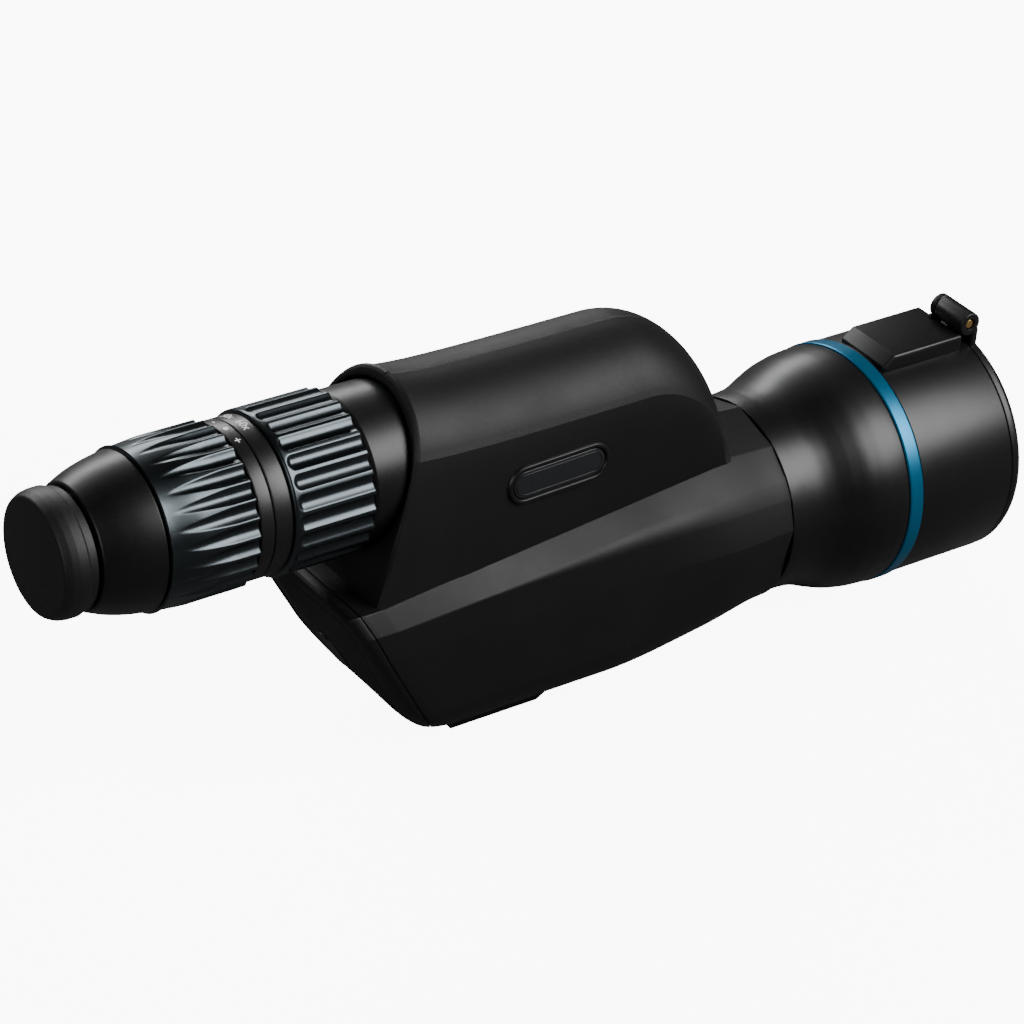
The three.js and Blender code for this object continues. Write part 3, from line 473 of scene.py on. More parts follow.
def flute_tree():
    """Presses round-bottomed flutes into a ring about the eyepiece's axis."""
    inputs = [("Geometry", "NodeSocketGeometry", None), ("Axis height", "NodeSocketFloat", 0.0),
              ("Flutes", "NodeSocketFloat", 28.0), ("Radius", "NodeSocketFloat", 0.0285),
              ("Depth", "NodeSocketFloat", 0.0013), ("Scoop radius", "NodeSocketFloat", 0.0026),
              ("Start", "NodeSocketFloat", 0.0), ("Run in", "NodeSocketFloat", 0.01),
              ("Least radius", "NodeSocketFloat", 0.026), ("Material", "NodeSocketMaterial", None)]
    tree, wires, source, sink = new_group("fluted ring", inputs, [("Geometry", "NodeSocketGeometry")],
                                          kind="GeometryNodeTree")
    sums = wires.math
    position = wires.node("GeometryNodeInputPosition").outputs[0]
    x, y, z = wires.node("ShaderNodeSeparateXYZ", {0: position}).outputs
    height = sums("SUBTRACT", z, source["Axis height"])
    angle = sums("ARCTAN2", y, height)
    pitch = sums("DIVIDE", 2 * math.pi, source["Flutes"])
    offset = sums("WRAP", angle, sums("MULTIPLY", pitch, 0.5), sums("MULTIPLY", pitch, -0.5))
    aside = sums("MULTIPLY", offset, source["Radius"])
    sag = sums("DIVIDE", sums("MULTIPLY", aside, aside), sums("MULTIPLY", source["Scoop radius"], 2.0))
    travelled = sums("DIVIDE", sums("SUBTRACT", x, source["Start"]), source["Run in"])
    limited = sums("MINIMUM", travelled, 1.0)
    dip = sums("SUBTRACT", sums("MULTIPLY", limited, source["Depth"]), sag)
    softened = sums("SQRT", sums("ADD", sums("MULTIPLY", dip, dip), SOFT_EDGE * SOFT_EDGE))
    depth = sums("MULTIPLY", sums("ADD", dip, softened), 0.5)
    radius = sums("SQRT", sums("ADD", sums("MULTIPLY", y, y), sums("MULTIPLY", height, height)))
    outer = sums("GREATER_THAN", radius, source["Least radius"])
    share = sums("DIVIDE", sums("MULTIPLY", sums("MULTIPLY", depth, outer), -1.0), radius)
    inward = {1: sums("MULTIPLY", share, y), 2: sums("MULTIPLY", share, height)}
    push = wires.node("ShaderNodeCombineXYZ", inward).outputs[0]
    moved = wires.node("GeometryNodeSetPosition", {"Geometry": source["Geometry"], "Offset": push})
    whole = wires.node("GeometryNodeRealizeInstances", {"Geometry": moved.outputs[0]}).outputs[0]
    coated = wires.node("GeometryNodeSetMaterial", {"Geometry": whole, "Material": source["Material"]})
    wires.feed(sink["Geometry"], coated.outputs[0])
    return tree


def run_tree(piece, tree, **values):
    """Run a node tree on a temporary object and give back its plain mesh."""
    modifier = piece.modifiers.new("shape", "NODES")
    modifier.node_group = tree
    sockets = {item.name: item.identifier for item in tree.interface.items_tree if item.in_out == "INPUT"}
    for label, value in values.items():
        modifier[sockets[label.replace("_", " ")]] = value
    return baked(piece)


def make_rings():
    tree = flute_tree()
    start, end = ends("focus_ring")
    blank = ring_blank("focus_blank", start, end, 28.8, 24.2, 0.9, 28 * 24)
    mesh = run_tree(blank, tree, Axis_height=EYE_Z, Flutes=28.0, Radius=28.6 * MM, Depth=1.55 * MM,
                    Scoop_radius=2.5 * MM, Start=station(start + 4.0), Run_in=20 * MM, Least_radius=26 * MM,
                    Material=GUNMETAL)
    adopt("focus_grip", mesh, GUNMETAL, "focus_control", ["focus_ring"], 50)
    start, end = ends("zoom_ring")
    blank = ring_blank("zoom_blank", start, end, 28.9, 24.2, 0.0, 26 * 24)
    mesh = run_tree(blank, tree, Axis_height=EYE_Z, Flutes=26.0, Radius=28.8 * MM, Depth=1.35 * MM,
                    Scoop_radius=2.9 * MM, Start=station(start + 1.6), Run_in=1.6 * MM, Least_radius=26 * MM,
                    Material=GUNMETAL)
    adopt("zoom_grip", mesh, GUNMETAL, "zoom_control", ["zoom_ring"], 50)


BAND_RADIUS = 27.6
PRINT_RADIUS = BAND_RADIUS + 0.04
PRINT_LIFT = 0.03
DOT_RADIUS = 0.95


def make_bands():
    for name, node, body in (("index_band", "index_collar", BODY),
                             ("scale_band", "zoom_scale_band", "zoom_control")):
        start, end = ends(node)
        profile = [(start, 24.2, 0.2), (end, 24.2, 0.2), (end, BAND_RADIUS, 0.45), (start, BAND_RADIUS, 0.45)]
        turned(name, profile, EYE_Z, BAND, body=body, replaces=[node], slot="black_metal", segments=160)
    start, end = ends("eyepiece_barrel")
    turned("barrel", [
        (start, 24.2, 0.2), (end, 24.2, 0.2), (end, 27.2, 0.3), (start + 1.4, 27.2, 0.5), (start, 26.6, 0.4),
    ], EYE_Z, PLASTIC, replaces=["eyepiece_barrel"], slot="plastic", segments=160)


def wrap_on_band(mesh, middle, turn, radius):
    """Lay a flat mark on a band: its own X runs round towards the near side and its Y along the scope."""
    for vertex in mesh.vertices:
        angle = math.radians(turn) + vertex.co.x / (radius * MM)
        reach = radius * MM + vertex.co.z
        x = station(middle) + vertex.co.y
        vertex.co = (x, -reach * math.sin(angle), EYE_Z + reach * math.cos(angle))


def printed(name, text, size, middle, turn, body):
    words = bpy.data.curves.new(name, "FONT")
    words.body = text
    words.size = size * MM
    words.extrude = PRINT_LIFT * MM
    words.offset = 0.02 * MM
    words.align_x = "CENTER"
    words.align_y = "CENTER"
    words.resolution_u = 6
    mesh = baked(temporary(name, words))
    wrap_on_band(mesh, middle, turn, PRINT_RADIUS)
    adopt(name, mesh, PRINT, body)


def make_marks():
    start, end = ends("index_collar")
    middle = (start + end) / 2
    printed("mark_minus", "-", 5.6, middle, -16, BODY)
    printed("mark_plus", "+", 4.6, middle, 13, BODY)
    turns = [2 * math.pi * k / 32 for k in range(32)]
    disc = [[Vector((radius * math.cos(a), radius * math.sin(a), height)) * MM for a in turns[:count]]
            for radius, height, count in ((0, -PRINT_LIFT, 1), (DOT_RADIUS, -PRINT_LIFT, 32),
                                          (DOT_RADIUS, PRINT_LIFT, 32), (0, PRINT_LIFT, 1))]
    points, faces = skin_rings(disc)
    mesh = bpy.data.meshes.new("mark_dot")
    mesh.from_pydata([tuple(p) for p in points], [], faces)
    wrap_on_band(mesh, middle, -2, PRINT_RADIUS)
    adopt("mark_dot", mesh, PRINT, BODY)
    start, end = ends("zoom_scale_band")
    for power, turn in ((60, 0), (50, 20), (40, 44), (30, 78), (20, 138)):
        printed(f"mark_{power}x", f"{power}x", 4.3, (start + end) / 2, -turn - 1, "zoom_control")


# ---- body ----------------------------------------------------------------------------------
HALF_WIDTH = 37.5
DEPTH = 38.5
CORNER = 29.0
SIDE_TOP = 6.0
LEDGE = (37.0, 17.2, 5.8)  # half width, height at the rear, rise along the body
SHELF = (33.0, 25.0)  # inner edge of the ledge at the rear
SHELF_NOSE = (21.5, 34.0)  # the same where the hump ends
REAR_STATION = 115.0
REAR_SLOPE = 0.53
REAR_SWEEP = 0.0032
NOSE_START = 226.0
NOSE_END = 271.0
TAPER = (214.0, 285.0)
BODY_END = ends("bell_housing")[0] + 10 - 0.3
TUBE_RADIUS = 38.1
TUBE_SWELL = 2.6  # how much wider the tube is behind, and where and over what length that fades
SWELL_FROM = 258.0
SWELL_RUN = 36.0
SEAM = 0.22  # half width of the parting line along the middle
SEAM_DEPTH = 0.45


def shelf_at(x):
    t = clamp((x - REAR_STATION) / (NOSE_END - REAR_STATION))
    return mix(SHELF[0], SHELF_NOSE[0], t), mix(SHELF[1], SHELF_NOSE[1], t)


def both_sides(half):
    """A closed outline from its half, which runs from the top centre to the bottom centre."""
    return half + [(-y, z) for y, z in reversed(half[1:-1])]


def body_half(x):
    shelf_y, shelf_z = shelf_at(x)
    ledge_z = LEDGE[1] + LEDGE[2] * clamp((x - REAR_STATION) / (NOSE_START - REAR_STATION))
    soft = mix(1.4, 9.0, ease((x - 150) / 90))
    return rounded([
        (0, shelf_z, 0), (SEAM * 2, shelf_z, 0), (shelf_y, shelf_z, 0.8), (LEDGE[0], ledge_z, soft),
        (HALF_WIDTH, SIDE_TOP, 9), (HALF_WIDTH, -DEPTH, CORNER), (SEAM * 2, -DEPTH, 0), (0, -DEPTH, 0),
    ], steps=10)


def tube_radius(x):
    return TUBE_RADIUS + TUBE_SWELL * (1 - ease((x - SWELL_FROM) / SWELL_RUN))


def body_outline(x):
    """The lower body: ledged and flat-sided behind, running out to a round tube in front."""
    to_round = ease((x - TAPER[0]) / (TAPER[1] - TAPER[0]))
    radius = tube_radius(x)
    half = []
    for y, z in body_half(x):
        reach = math.hypot(y, z)
        scale = mix(1.0, radius / reach, to_round)
        half.append((y * scale, z * scale))
    last = len(half) - 1
    for middle, down in ((0, 1), (last, -1)):
        half[middle] = (0.0, half[middle][1] - down * SEAM_DEPTH)
    return both_sides(half)


def rear_x(z, out=0.0):
    """Station of the rear surface at a height: a leaning plane that sweeps forward lower down."""
    return REAR_STATION - REAR_SLOPE * z + REAR_SWEEP * min(z, 0) ** 2 - out


BOTTOM_ROUND = 12.0


def rear_ring(inset, out):
    """One ring round the rear end, inset from the outline and standing out from the slanted plane."""
    ring = []
    for y, z in both_sides(body_half(REAR_STATION)):
        low = ease((-z - 4) / 30)
        run = clamp((out + BOTTOM_ROUND) / (BOTTOM_ROUND + 2))
        drawn_in = inset + low * BOTTOM_ROUND * 0.62 * (1 - math.sqrt(1 - run * run))
        reach = math.hypot(y, z + 6)
        scale = max(1 - drawn_in / reach, 0.02)
        side, height = y * scale, (z + 6) * scale - 6
        ring.append(place(rear_x(height, out), side, height))
    return ring


# Inset and standing out of each ring, from inside the rear panel over the rim and its groove
REAR_EDGE = (
    (7.2, -4), (7.2, 0.4), (6.9, 0.9), (6.2, 1.1), (4.4, 1.0), (2.8, 0.5), (1.5, -0.3), (0.6, -1.4),
    (0.15, -2.6), (0.0, -4.0), (0.05, -4.35), (0.7, -4.4), (0.7, -4.9), (0.05, -4.95), (0.0, -5.4),
    (0.0, -7.5), (0.0, -10), (0.0, -12.5), (0.0, -14.5),
)
# Inset and distance back from the body's front end of each ring round its lip
FRONT_LIP = ((0.12, 0.7), (0.4, 0.3), (0.9, 0.05), (1.6, 0.0), (3.6, 0.0))


def make_lower_body():
    turned_in = [rear_ring(inset, out) for inset, out in REAR_EDGE]
    rings = [fan_centre(turned_in[0])] + turned_in
    first = 158.0
    count = 64
    for k in range(count + 1):
        x = mix(first, BODY_END - 1.2, k / count)
        rings.append([place(x, y, z) for y, z in body_outline(x)])
    lip = body_outline(BODY_END - 1.2)
    for inset, back in FRONT_LIP:
        scale = 1 - inset / TUBE_RADIUS
        rings.append([place(BODY_END - back, y * scale, z * scale) for y, z in lip])
    rings.append(fan_centre(rings[-1]))
    points, faces = skin_rings(rings)
    mesh_piece("lower_armour", points, faces, ARMOUR, replaces=["armour_right", "armour_left"],
               slot="armour", crease=20)


REAR_DISC_DROP = 11.0  # of the round disc's middle under the objective's axis


def make_rear_end():
    rings = [fan_centre(rear_ring(7.6, -3.6)), rear_ring(7.6, -3.6), rear_ring(7.6, 0.2), rear_ring(7.8, 0.55),
             rear_ring(8.4, 0.85)]
    rings += [rear_ring(mix(8.4, 30, k / 8), 0.85 + 1.9 * math.sin(k / 8 * math.pi / 2)) for k in range(1, 9)]
    rings.append(fan_centre(rings[-1]))
    points, faces = skin_rings(rings)
    mesh_piece("rear_panel", points, faces, ARMOUR, replaces=["rear_plate"], slot="armour", crease=40)
    lean = math.atan(REAR_SLOPE + 2 * REAR_SWEEP * REAR_DISC_DROP)
    outward = Vector((-math.cos(lean), 0, -math.sin(lean)))
    upward = Vector((-math.sin(lean), 0, math.cos(lean)))
    sideways = Vector((0, 1, 0))
    seat = place(rear_x(-REAR_DISC_DROP, 2.5), 0, -REAR_DISC_DROP)
    rings = []
    disc = [(0, -2.4, 0), (8.2, -2.4, 0), (8.2, 0.55, 0.35), (6.6, 0.3, 0.8), (0, 0.12, 0)]
    for radius, out in rounded(disc):
        middle = seat + outward * out * MM
        count = 96 if radius > 1e-6 else 1
        turns = (2 * math.pi * k / count for k in range(count))
        rings.append([middle + (upward * math.cos(a) + sideways * math.sin(a)) * radius * MM for a in turns])
    points, faces = skin_rings(rings)
    mesh_piece("rear_cap_disc", points, faces, PLASTIC, replaces=["rear_plug"], slot="plastic")


HUMP_RADIUS = 28.8
CREASE_HALF = 25.6
CREASE_RISE = math.sqrt(HUMP_RADIUS ** 2 - CREASE_HALF ** 2)
HUMP_REAR = (106.6, 0.283)
SIDE_BOW = 1.7
TOP_STEPS = 22
SIDE_STEPS = 22
BASE_STEPS = 8
RECESS_RADIUS = 28.2


def hump_half(x, top, crease_y, crease_z, base_drop=7.0):
    half = []
    for k in range(TOP_STEPS + 1):
        y = CREASE_HALF * math.sin(k / TOP_STEPS * math.pi / 2)
        rise = (math.sqrt(HUMP_RADIUS ** 2 - y * y) - CREASE_RISE) / (HUMP_RADIUS - CREASE_RISE)
        half.append((crease_y * y / CREASE_HALF, mix(crease_z, top, rise)))
    half[1] = (SEAM * 2, half[0][1])
    half[0] = (0.0, half[0][1] - SEAM_DEPTH)
    shelf_y, shelf_z = shelf_at(x)
    low = min(shelf_z, crease_z) - base_drop
    for k in range(1, SIDE_STEPS + 1):
        t = k / SIDE_STEPS
        bow = SIDE_BOW * math.sin(math.pi * math.sqrt(t)) * clamp((crease_z - shelf_z) / 30)
        half.append((mix(crease_y, shelf_y + 0.6, t) + bow, mix(crease_z, low, t)))
    for k in range(1, BASE_STEPS + 1):
        half.append((mix(shelf_y + 0.6, 0, k / BASE_STEPS), low))
    return half


def hump_section(x):
    flare = math.exp(-max(x - 128, 0) / 17.0)
    t = clamp((x - NOSE_START) / (NOSE_END - NOSE_START))
    sink = clamp((x - NOSE_START) / (NOSE_END - 4.0 - NOSE_START))
    fall = (1 - t ** 1.9) ** 0.53
    top_rest = EYEPIECE_RISE + HUMP_RADIUS + 3.6 * flare
    crease_rest = EYEPIECE_RISE + CREASE_RISE + 3.0 * flare
    top = mix(37.0, top_rest, fall)
    crease_z = min(mix(33.0, crease_rest, (1 - sink * sink) ** 0.6), top - 0.6)
    crease_y = mix(SHELF_NOSE[0] + 0.4, CREASE_HALF + 0.4 * flare, fall)
    return hump_half(x, top, crease_y, crease_z)


def recess_half(radius):
    """A circle about the eyepiece's axis, with a point for each point of the hump's outline."""
    crease_turn = math.atan2(CREASE_HALF, CREASE_RISE)
    shelf_turn = math.atan2(SHELF[0], SHELF[1] - 7 - EYEPIECE_RISE)
    turns = [crease_turn * k / TOP_STEPS for k in range(TOP_STEPS + 1)]
    turns += [mix(crease_turn, shelf_turn, k / SIDE_STEPS) for k in range(1, SIDE_STEPS + 1)]
    turns += [mix(shelf_turn, math.pi, k / BASE_STEPS) for k in range(1, BASE_STEPS + 1)]
    return [(radius * math.sin(a), EYEPIECE_RISE + radius * math.cos(a)) for a in turns]


def hump_rear_x(z):
    return HUMP_REAR[0] + HUMP_REAR[1] * z


def make_hump():
    """Hump loft: up out of the barrel's recess, over the rim, along the back and down the nose."""
    first = 150.0
    wall_end = ends("zoom_ring")[1] + 24
    rings = [[place(wall_end, y, z) for y, z in both_sides(recess_half(27.5))]]
    rings.append([place(wall_end - 0.6, y, z) for y, z in both_sides(recess_half(RECESS_RADIUS))])
    mouth = both_sides(recess_half(RECESS_RADIUS))
    rings.append([place(hump_rear_x(z) + 1.2, y, z) for y, z in mouth])
    outer = both_sides(hump_section(128.0))
    for share, back in ((0.0, 0.5), (0.16, 0.12), (0.4, 0.0), (0.7, 0.1), (0.9, 0.45), (1.0, 1.2)):
        ring = []
        for (y0, z0), (y1, z1) in zip(mouth, outer):
            y, z = mix(y0, y1, share), mix(z0, z1, share)
            ring.append(place(hump_rear_x(z) + back, y, z))
        rings.append(ring)
    for k in range(1, 15):
        t = k / 15
        ring = []
        for (y0, z0), (y1, z1) in zip(outer, both_sides(hump_section(mix(131, first, t)))):
            ring.append(place(mix(hump_rear_x(z1) + 1.2, first, t), y1, z1))
        rings.append(ring)
    for k in range(25):
        x = mix(first, NOSE_START, k / 24)
        rings.append([place(x, y, z) for y, z in both_sides(hump_section(x))])
    nose_steps = 40
    for k in range(1, nose_steps + 1):
        x = mix(NOSE_START, NOSE_END, math.sin(k / nose_steps * math.pi / 2))
        rings.append([place(x, y, z) for y, z in both_sides(hump_section(x))])
    rings.append(fan_centre(rings[-1]))
    rings.insert(0, fan_centre(rings[0]))
    points, faces = skin_rings(rings)
    mesh_piece("hump_armour", points, faces, ARMOUR, replaces=["armour_right", "armour_left"],
               slot="armour", crease=8)


def block(name, low, high):
    """A plain box in mm stations, to cut with."""
    mesh = bpy.data.meshes.new(name)
    shape = bmesh.new()
    bmesh.ops.create_cube(shape, size=1.0)
    for vertex in shape.verts:
        share = vertex.co + Vector((0.5, 0.5, 0.5))
        vertex.co = Vector([mix(low[k], high[k], share[k]) for k in range(3)])
    shape.to_mesh(mesh)
    shape.free()
    return temporary(name, mesh)


def make_foot():
    """Foot block with its front ramp, rounded, and a pocket for the tripod plate."""
    low, high = corners("tripod_plate")
    bottom = low.z
    rear, front = ends("tripod_plate")
    rear -= 3.6
    front += 3.4
    half = 20.6
    top = place(0, 0, -DEPTH + 6).z
    ramp_end = front + 14
    profile = [(rear - 0.6, bottom), (front, bottom), (ramp_end, place(0, 0, -DEPTH + 1).z), (ramp_end, top),
               (rear, top)]
    points = [Vector((station(x), side * half * MM, z)) for side in (-1, 1) for x, z in profile]
    count = len(profile)
    faces = [list(range(count)), list(range(count, 2 * count))]
    faces += [[k, (k + 1) % count, (k + 1) % count + count, k + count] for k in range(count)]
    foot = temporary("foot", faced_mesh("foot", points, faces))
    soften = foot.modifiers.new("soften", "BEVEL")
    soften.width = 0.9 * MM
    soften.segments = 5
    soften.limit_method = "ANGLE"
    gap = 0.3 * MM
    pocket = block("pocket", (low.x - gap, low.y - gap, bottom - 2 * MM),
                   (high.x + gap, high.y + gap, high.z + gap))
    carve = foot.modifiers.new("carve", "BOOLEAN")
    carve.object = pocket
    carve.operation = "DIFFERENCE"
    carve.solver = "EXACT"
    mesh = baked(foot)
    bpy.data.objects.remove(pocket)
    adopt("foot_block", mesh, ARMOUR, replaces=["armour_right", "armour_left"], crease=40)


def pill_ring(middle, lean, length, width, offset, out):
    """A pill-shaped ring on the hump's near side, offset in its plane and standing out by a height."""
    radius = width / 2 + offset
    reach = (length - width) / 2
    along = Vector((1, 0, 0.035)).normalized()
    outward = Vector((0, -math.cos(lean), math.sin(lean)))
    upward = outward.cross(along) * -1
    ring = []
    half_steps = 24
    for side in (1, -1):
        for k in range(half_steps + 1):
            angle = -math.pi / 2 + math.pi * k / half_steps
            a = side * (reach + radius * math.cos(angle))
            b = side * radius * math.sin(angle)
            ring.append(middle + (along * a + upward * b + outward * out) * MM)
    return ring


def make_badge():
    low, high = corners("badge_plate")
    middle = (low + high) / 2
    lean = math.radians(4)
    centre = Vector((middle.x, place(0, -28.9, 0).y, middle.z))
    size = (39.0, 11.0)

    def rings(path):
        return [pill_ring(centre, lean, *size, offset, out) for offset, out in path]

    frame_path = rounded([(1.9, -2.5, 0), (1.9, 0.15, 0.3), (1.4, 1.0, 0.5), (0.2, 1.0, 0.5), (-0.2, 0.1, 0.2),
                          (-0.2, -2.5, 0)], closed=True, steps=5)
    points, faces = skin_rings(rings(frame_path), close_loop=True)
    mesh_piece("badge_frame", points, faces, PLASTIC, slot="badge")
    plate_path = rounded([(-0.45, -2.2, 0), (-0.45, 0.45, 0.25), (-1.6, 0.55, 0.3), (-3.6, 0.6, 0)], steps=4)
    plate = rings(plate_path)
    points, faces = skin_rings([fan_centre(plate[0])] + plate + [fan_centre(plate[-1])])
    mesh_piece("badge_face", points, faces, BADGE, replaces=["badge_plate"], slot="badge")
    bead_path = rounded([(-1.5, 0.4, 0), (-1.5, 0.75, 0.1), (-1.9, 0.75, 0.1), (-1.9, 0.4, 0)],
                        closed=True, steps=3)
    points, faces = skin_rings(rings(bead_path), close_loop=True)
    mesh_piece("badge_line", points, faces, BADGE, slot="badge")


# ---- objective end -------------------------------------------------------------------------
def make_bell():
    start, end = ends("bell_housing")
    seam = start + 10
    length = end - seam
    bow = [(0.0, 37.4), (0.16, 37.4), (0.3, 38.0), (0.41, 39.4), (0.53, 41.7), (0.66, 43.9), (0.8, 45.1),
           (0.92, 45.5)]
    outer = [(seam + t * length, r, 30) for t, r in bow]
    inner = [(x, min(r - 3, 42.5), 20) for x, r, _ in outer]
    profile = [(start, 32.7, 0.3), (seam + 0.5, 34.4, 1)] + inner[1:] + [(end, 42.6, 0.3), (end, 45.5, 0.4)]
    profile += outer[::-1][:-1] + [(seam, 37.35, 0.35), (seam, 34.7, 0.3), (start, 34.7, 0.3)]
    turned("bell", profile, OBJECTIVE_Z, SATIN, segments=192, replaces=["bell_housing"], slot="bell_paint")


def make_trim():
    start, end = ends("trim_ring")
    turned("trim", [
        (start, 43.2, 0.2), (end, 43.2, 0.2), (end, 45.75, 0.3), (end - 0.5, 46.0, 0.4),
        (start + 0.5, 46.0, 0.4), (start, 45.75, 0.3),
    ], OBJECTIVE_Z, BLUE, segments=192, replaces=["trim_ring"], slot="blue")


def ridge_tree():
    """Thin ridges ring after ring along the inside of the lens shade."""
    inputs = [("Geometry", "NodeSocketGeometry", None), ("Count", "NodeSocketInt", 9),
              ("Spacing", "NodeSocketFloat", 0.002), ("Radius", "NodeSocketFloat", 0.043),
              ("Thickness", "NodeSocketFloat", 0.0004), ("Start", "NodeSocketVector", None),
              ("Material", "NodeSocketMaterial", None)]
    tree, wires, source, sink = new_group("shade ridges", inputs, [("Geometry", "NodeSocketGeometry")],
                                          kind="GeometryNodeTree")
    hoop = wires.node("GeometryNodeCurvePrimitiveCircle", {"Resolution": 96, "Radius": source["Radius"]})
    wire = wires.node("GeometryNodeCurvePrimitiveCircle", {"Resolution": 8, "Radius": source["Thickness"]})
    tube = wires.node("GeometryNodeCurveToMesh", {"Curve": hoop.outputs[0], "Profile Curve": wire.outputs[0]})
    step = wires.node("ShaderNodeCombineXYZ", {0: source["Spacing"]})
    line = wires.node("GeometryNodeMeshLine", {"Count": source["Count"], "Start Location": source["Start"],
                                               "Offset": step.outputs[0]})
    rings = wires.node("GeometryNodeInstanceOnPoints", {"Points": line.outputs[0], "Instance": tube.outputs[0],
                                                        "Rotation": (0.0, math.pi / 2, 0.0)})
    whole = wires.node("GeometryNodeRealizeInstances", {"Geometry": rings.outputs[0]}).outputs[0]
    coated = wires.node("GeometryNodeSetMaterial", {"Geometry": whole, "Material": source["Material"]})
    wires.feed(sink["Geometry"], coated.outputs[0])
    return tree


def make_shade():
    start, end = ends("objective_shade")
    wall = [(start, 43.2, 0.2), (end, 43.2, 0.5), (end, 45.4, 0.5), (start, 45.4, 0.35)]
    turned("shade", wall, OBJECTIVE_Z, SATIN, segments=192, replaces=["objective_shade"], slot="bell_paint")
    cell_start, cell_end = ends("objective_cell")
    ridges_from = cell_end + 2.5
    holder = temporary("ridges", bpy.data.meshes.new("ridges"))
    mesh = run_tree(holder, ridge_tree(), Count=10, Spacing=1.9 * MM, Radius=43.25 * MM, Thickness=0.45 * MM,
                    Start=tuple(place(ridges_from, 0, 0)), Material=BLACK_METAL)
    adopt("glare_ridges", mesh, BLACK_METAL)
    step = cell_end - 21
    turned("lens_cell", [
        (cell_start, 37.9, 0.2), (step, 37.9, 0.2), (step, 40.3, 0.1), (cell_end, 40.3, 0.6),
        (cell_end, 42.9, 0.3), (cell_start, 42.9, 0.2),
    ], OBJECTIVE_Z, BLACK_METAL, segments=160, replaces=["objective_cell"], slot="black_metal")


def make_objective_lenses():
    start, end = ends("objective_front_lens")
    edge = 40.0
    turned("front_lens", [
        (start, 0, 0), (start + 0.35, 22, 90), (start + 1.4, edge, 0.15), (end - 4.4, edge, 0.15),
        (end - 1.2, 22, 60), (end, 0, 0),
    ], OBJECTIVE_Z, GLASS, closed=False, segments=160, replaces=["objective_front_lens"], slot="glass",
        crease=25)
    start, end = ends("objective_lock_ring")
    ring = [(start, 37.4, 0.2), (end, 37.8, 0.5), (end, edge, 0.3), (start, edge, 0.2)]
    turned("lock_ring", ring, OBJECTIVE_Z, BLACK_METAL, segments=160, replaces=["objective_lock_ring"],
           slot="black_metal")


def ring_across(centre, across, reach, count):
    """A circle about the hinge's axis, in mm from a centre in metres."""
    turns = (2 * math.pi * k / count for k in range(count))
    return [centre + Vector((reach * math.cos(a), across, reach * math.sin(a))) * MM for a in turns]


def knuckle(first, last, radius, centre, bore):
    """A closed tube across the scope, with eased ends."""
    path = rounded([(first, bore, 0.15), (first, radius, 0.55), (last, radius, 0.55), (last, bore, 0.15)],
                   closed=True, steps=4)
    return skin_rings([ring_across(centre, across, reach, 64) for across, reach in path], close_loop=True)


def make_cover():
    """Dished cover with its lip inside the shade."""
    start = ends("objective_shade")[1] + 0.3
    end = start + 5.0
    turned("cover_disc", [
        (start - 3, 40.2, 0.3), (start - 3, 42.6, 0.5), (start, 42.6, 0.2), (start, 45.2, 0.35),
        (end - 2.6, 45.3, 1.6), (end - 0.7, 44.2, 0.8), (end - 0.2, 42.6, 0.5), (end - 0.2, 41.2, 0.3),
        (end - 0.7, 40.8, 0.3),
        (end - 0.7, 38.6, 0.4), (end - 0.1, 38.0, 0.4), (end, 0, 0), (end - 2.5, 0, 0), (end - 2.5, 40.2, 0.4),
    ], OBJECTIVE_Z, PLASTIC, segments=192, closed=False, body="cover", replaces=["front_cover"], slot="plastic")


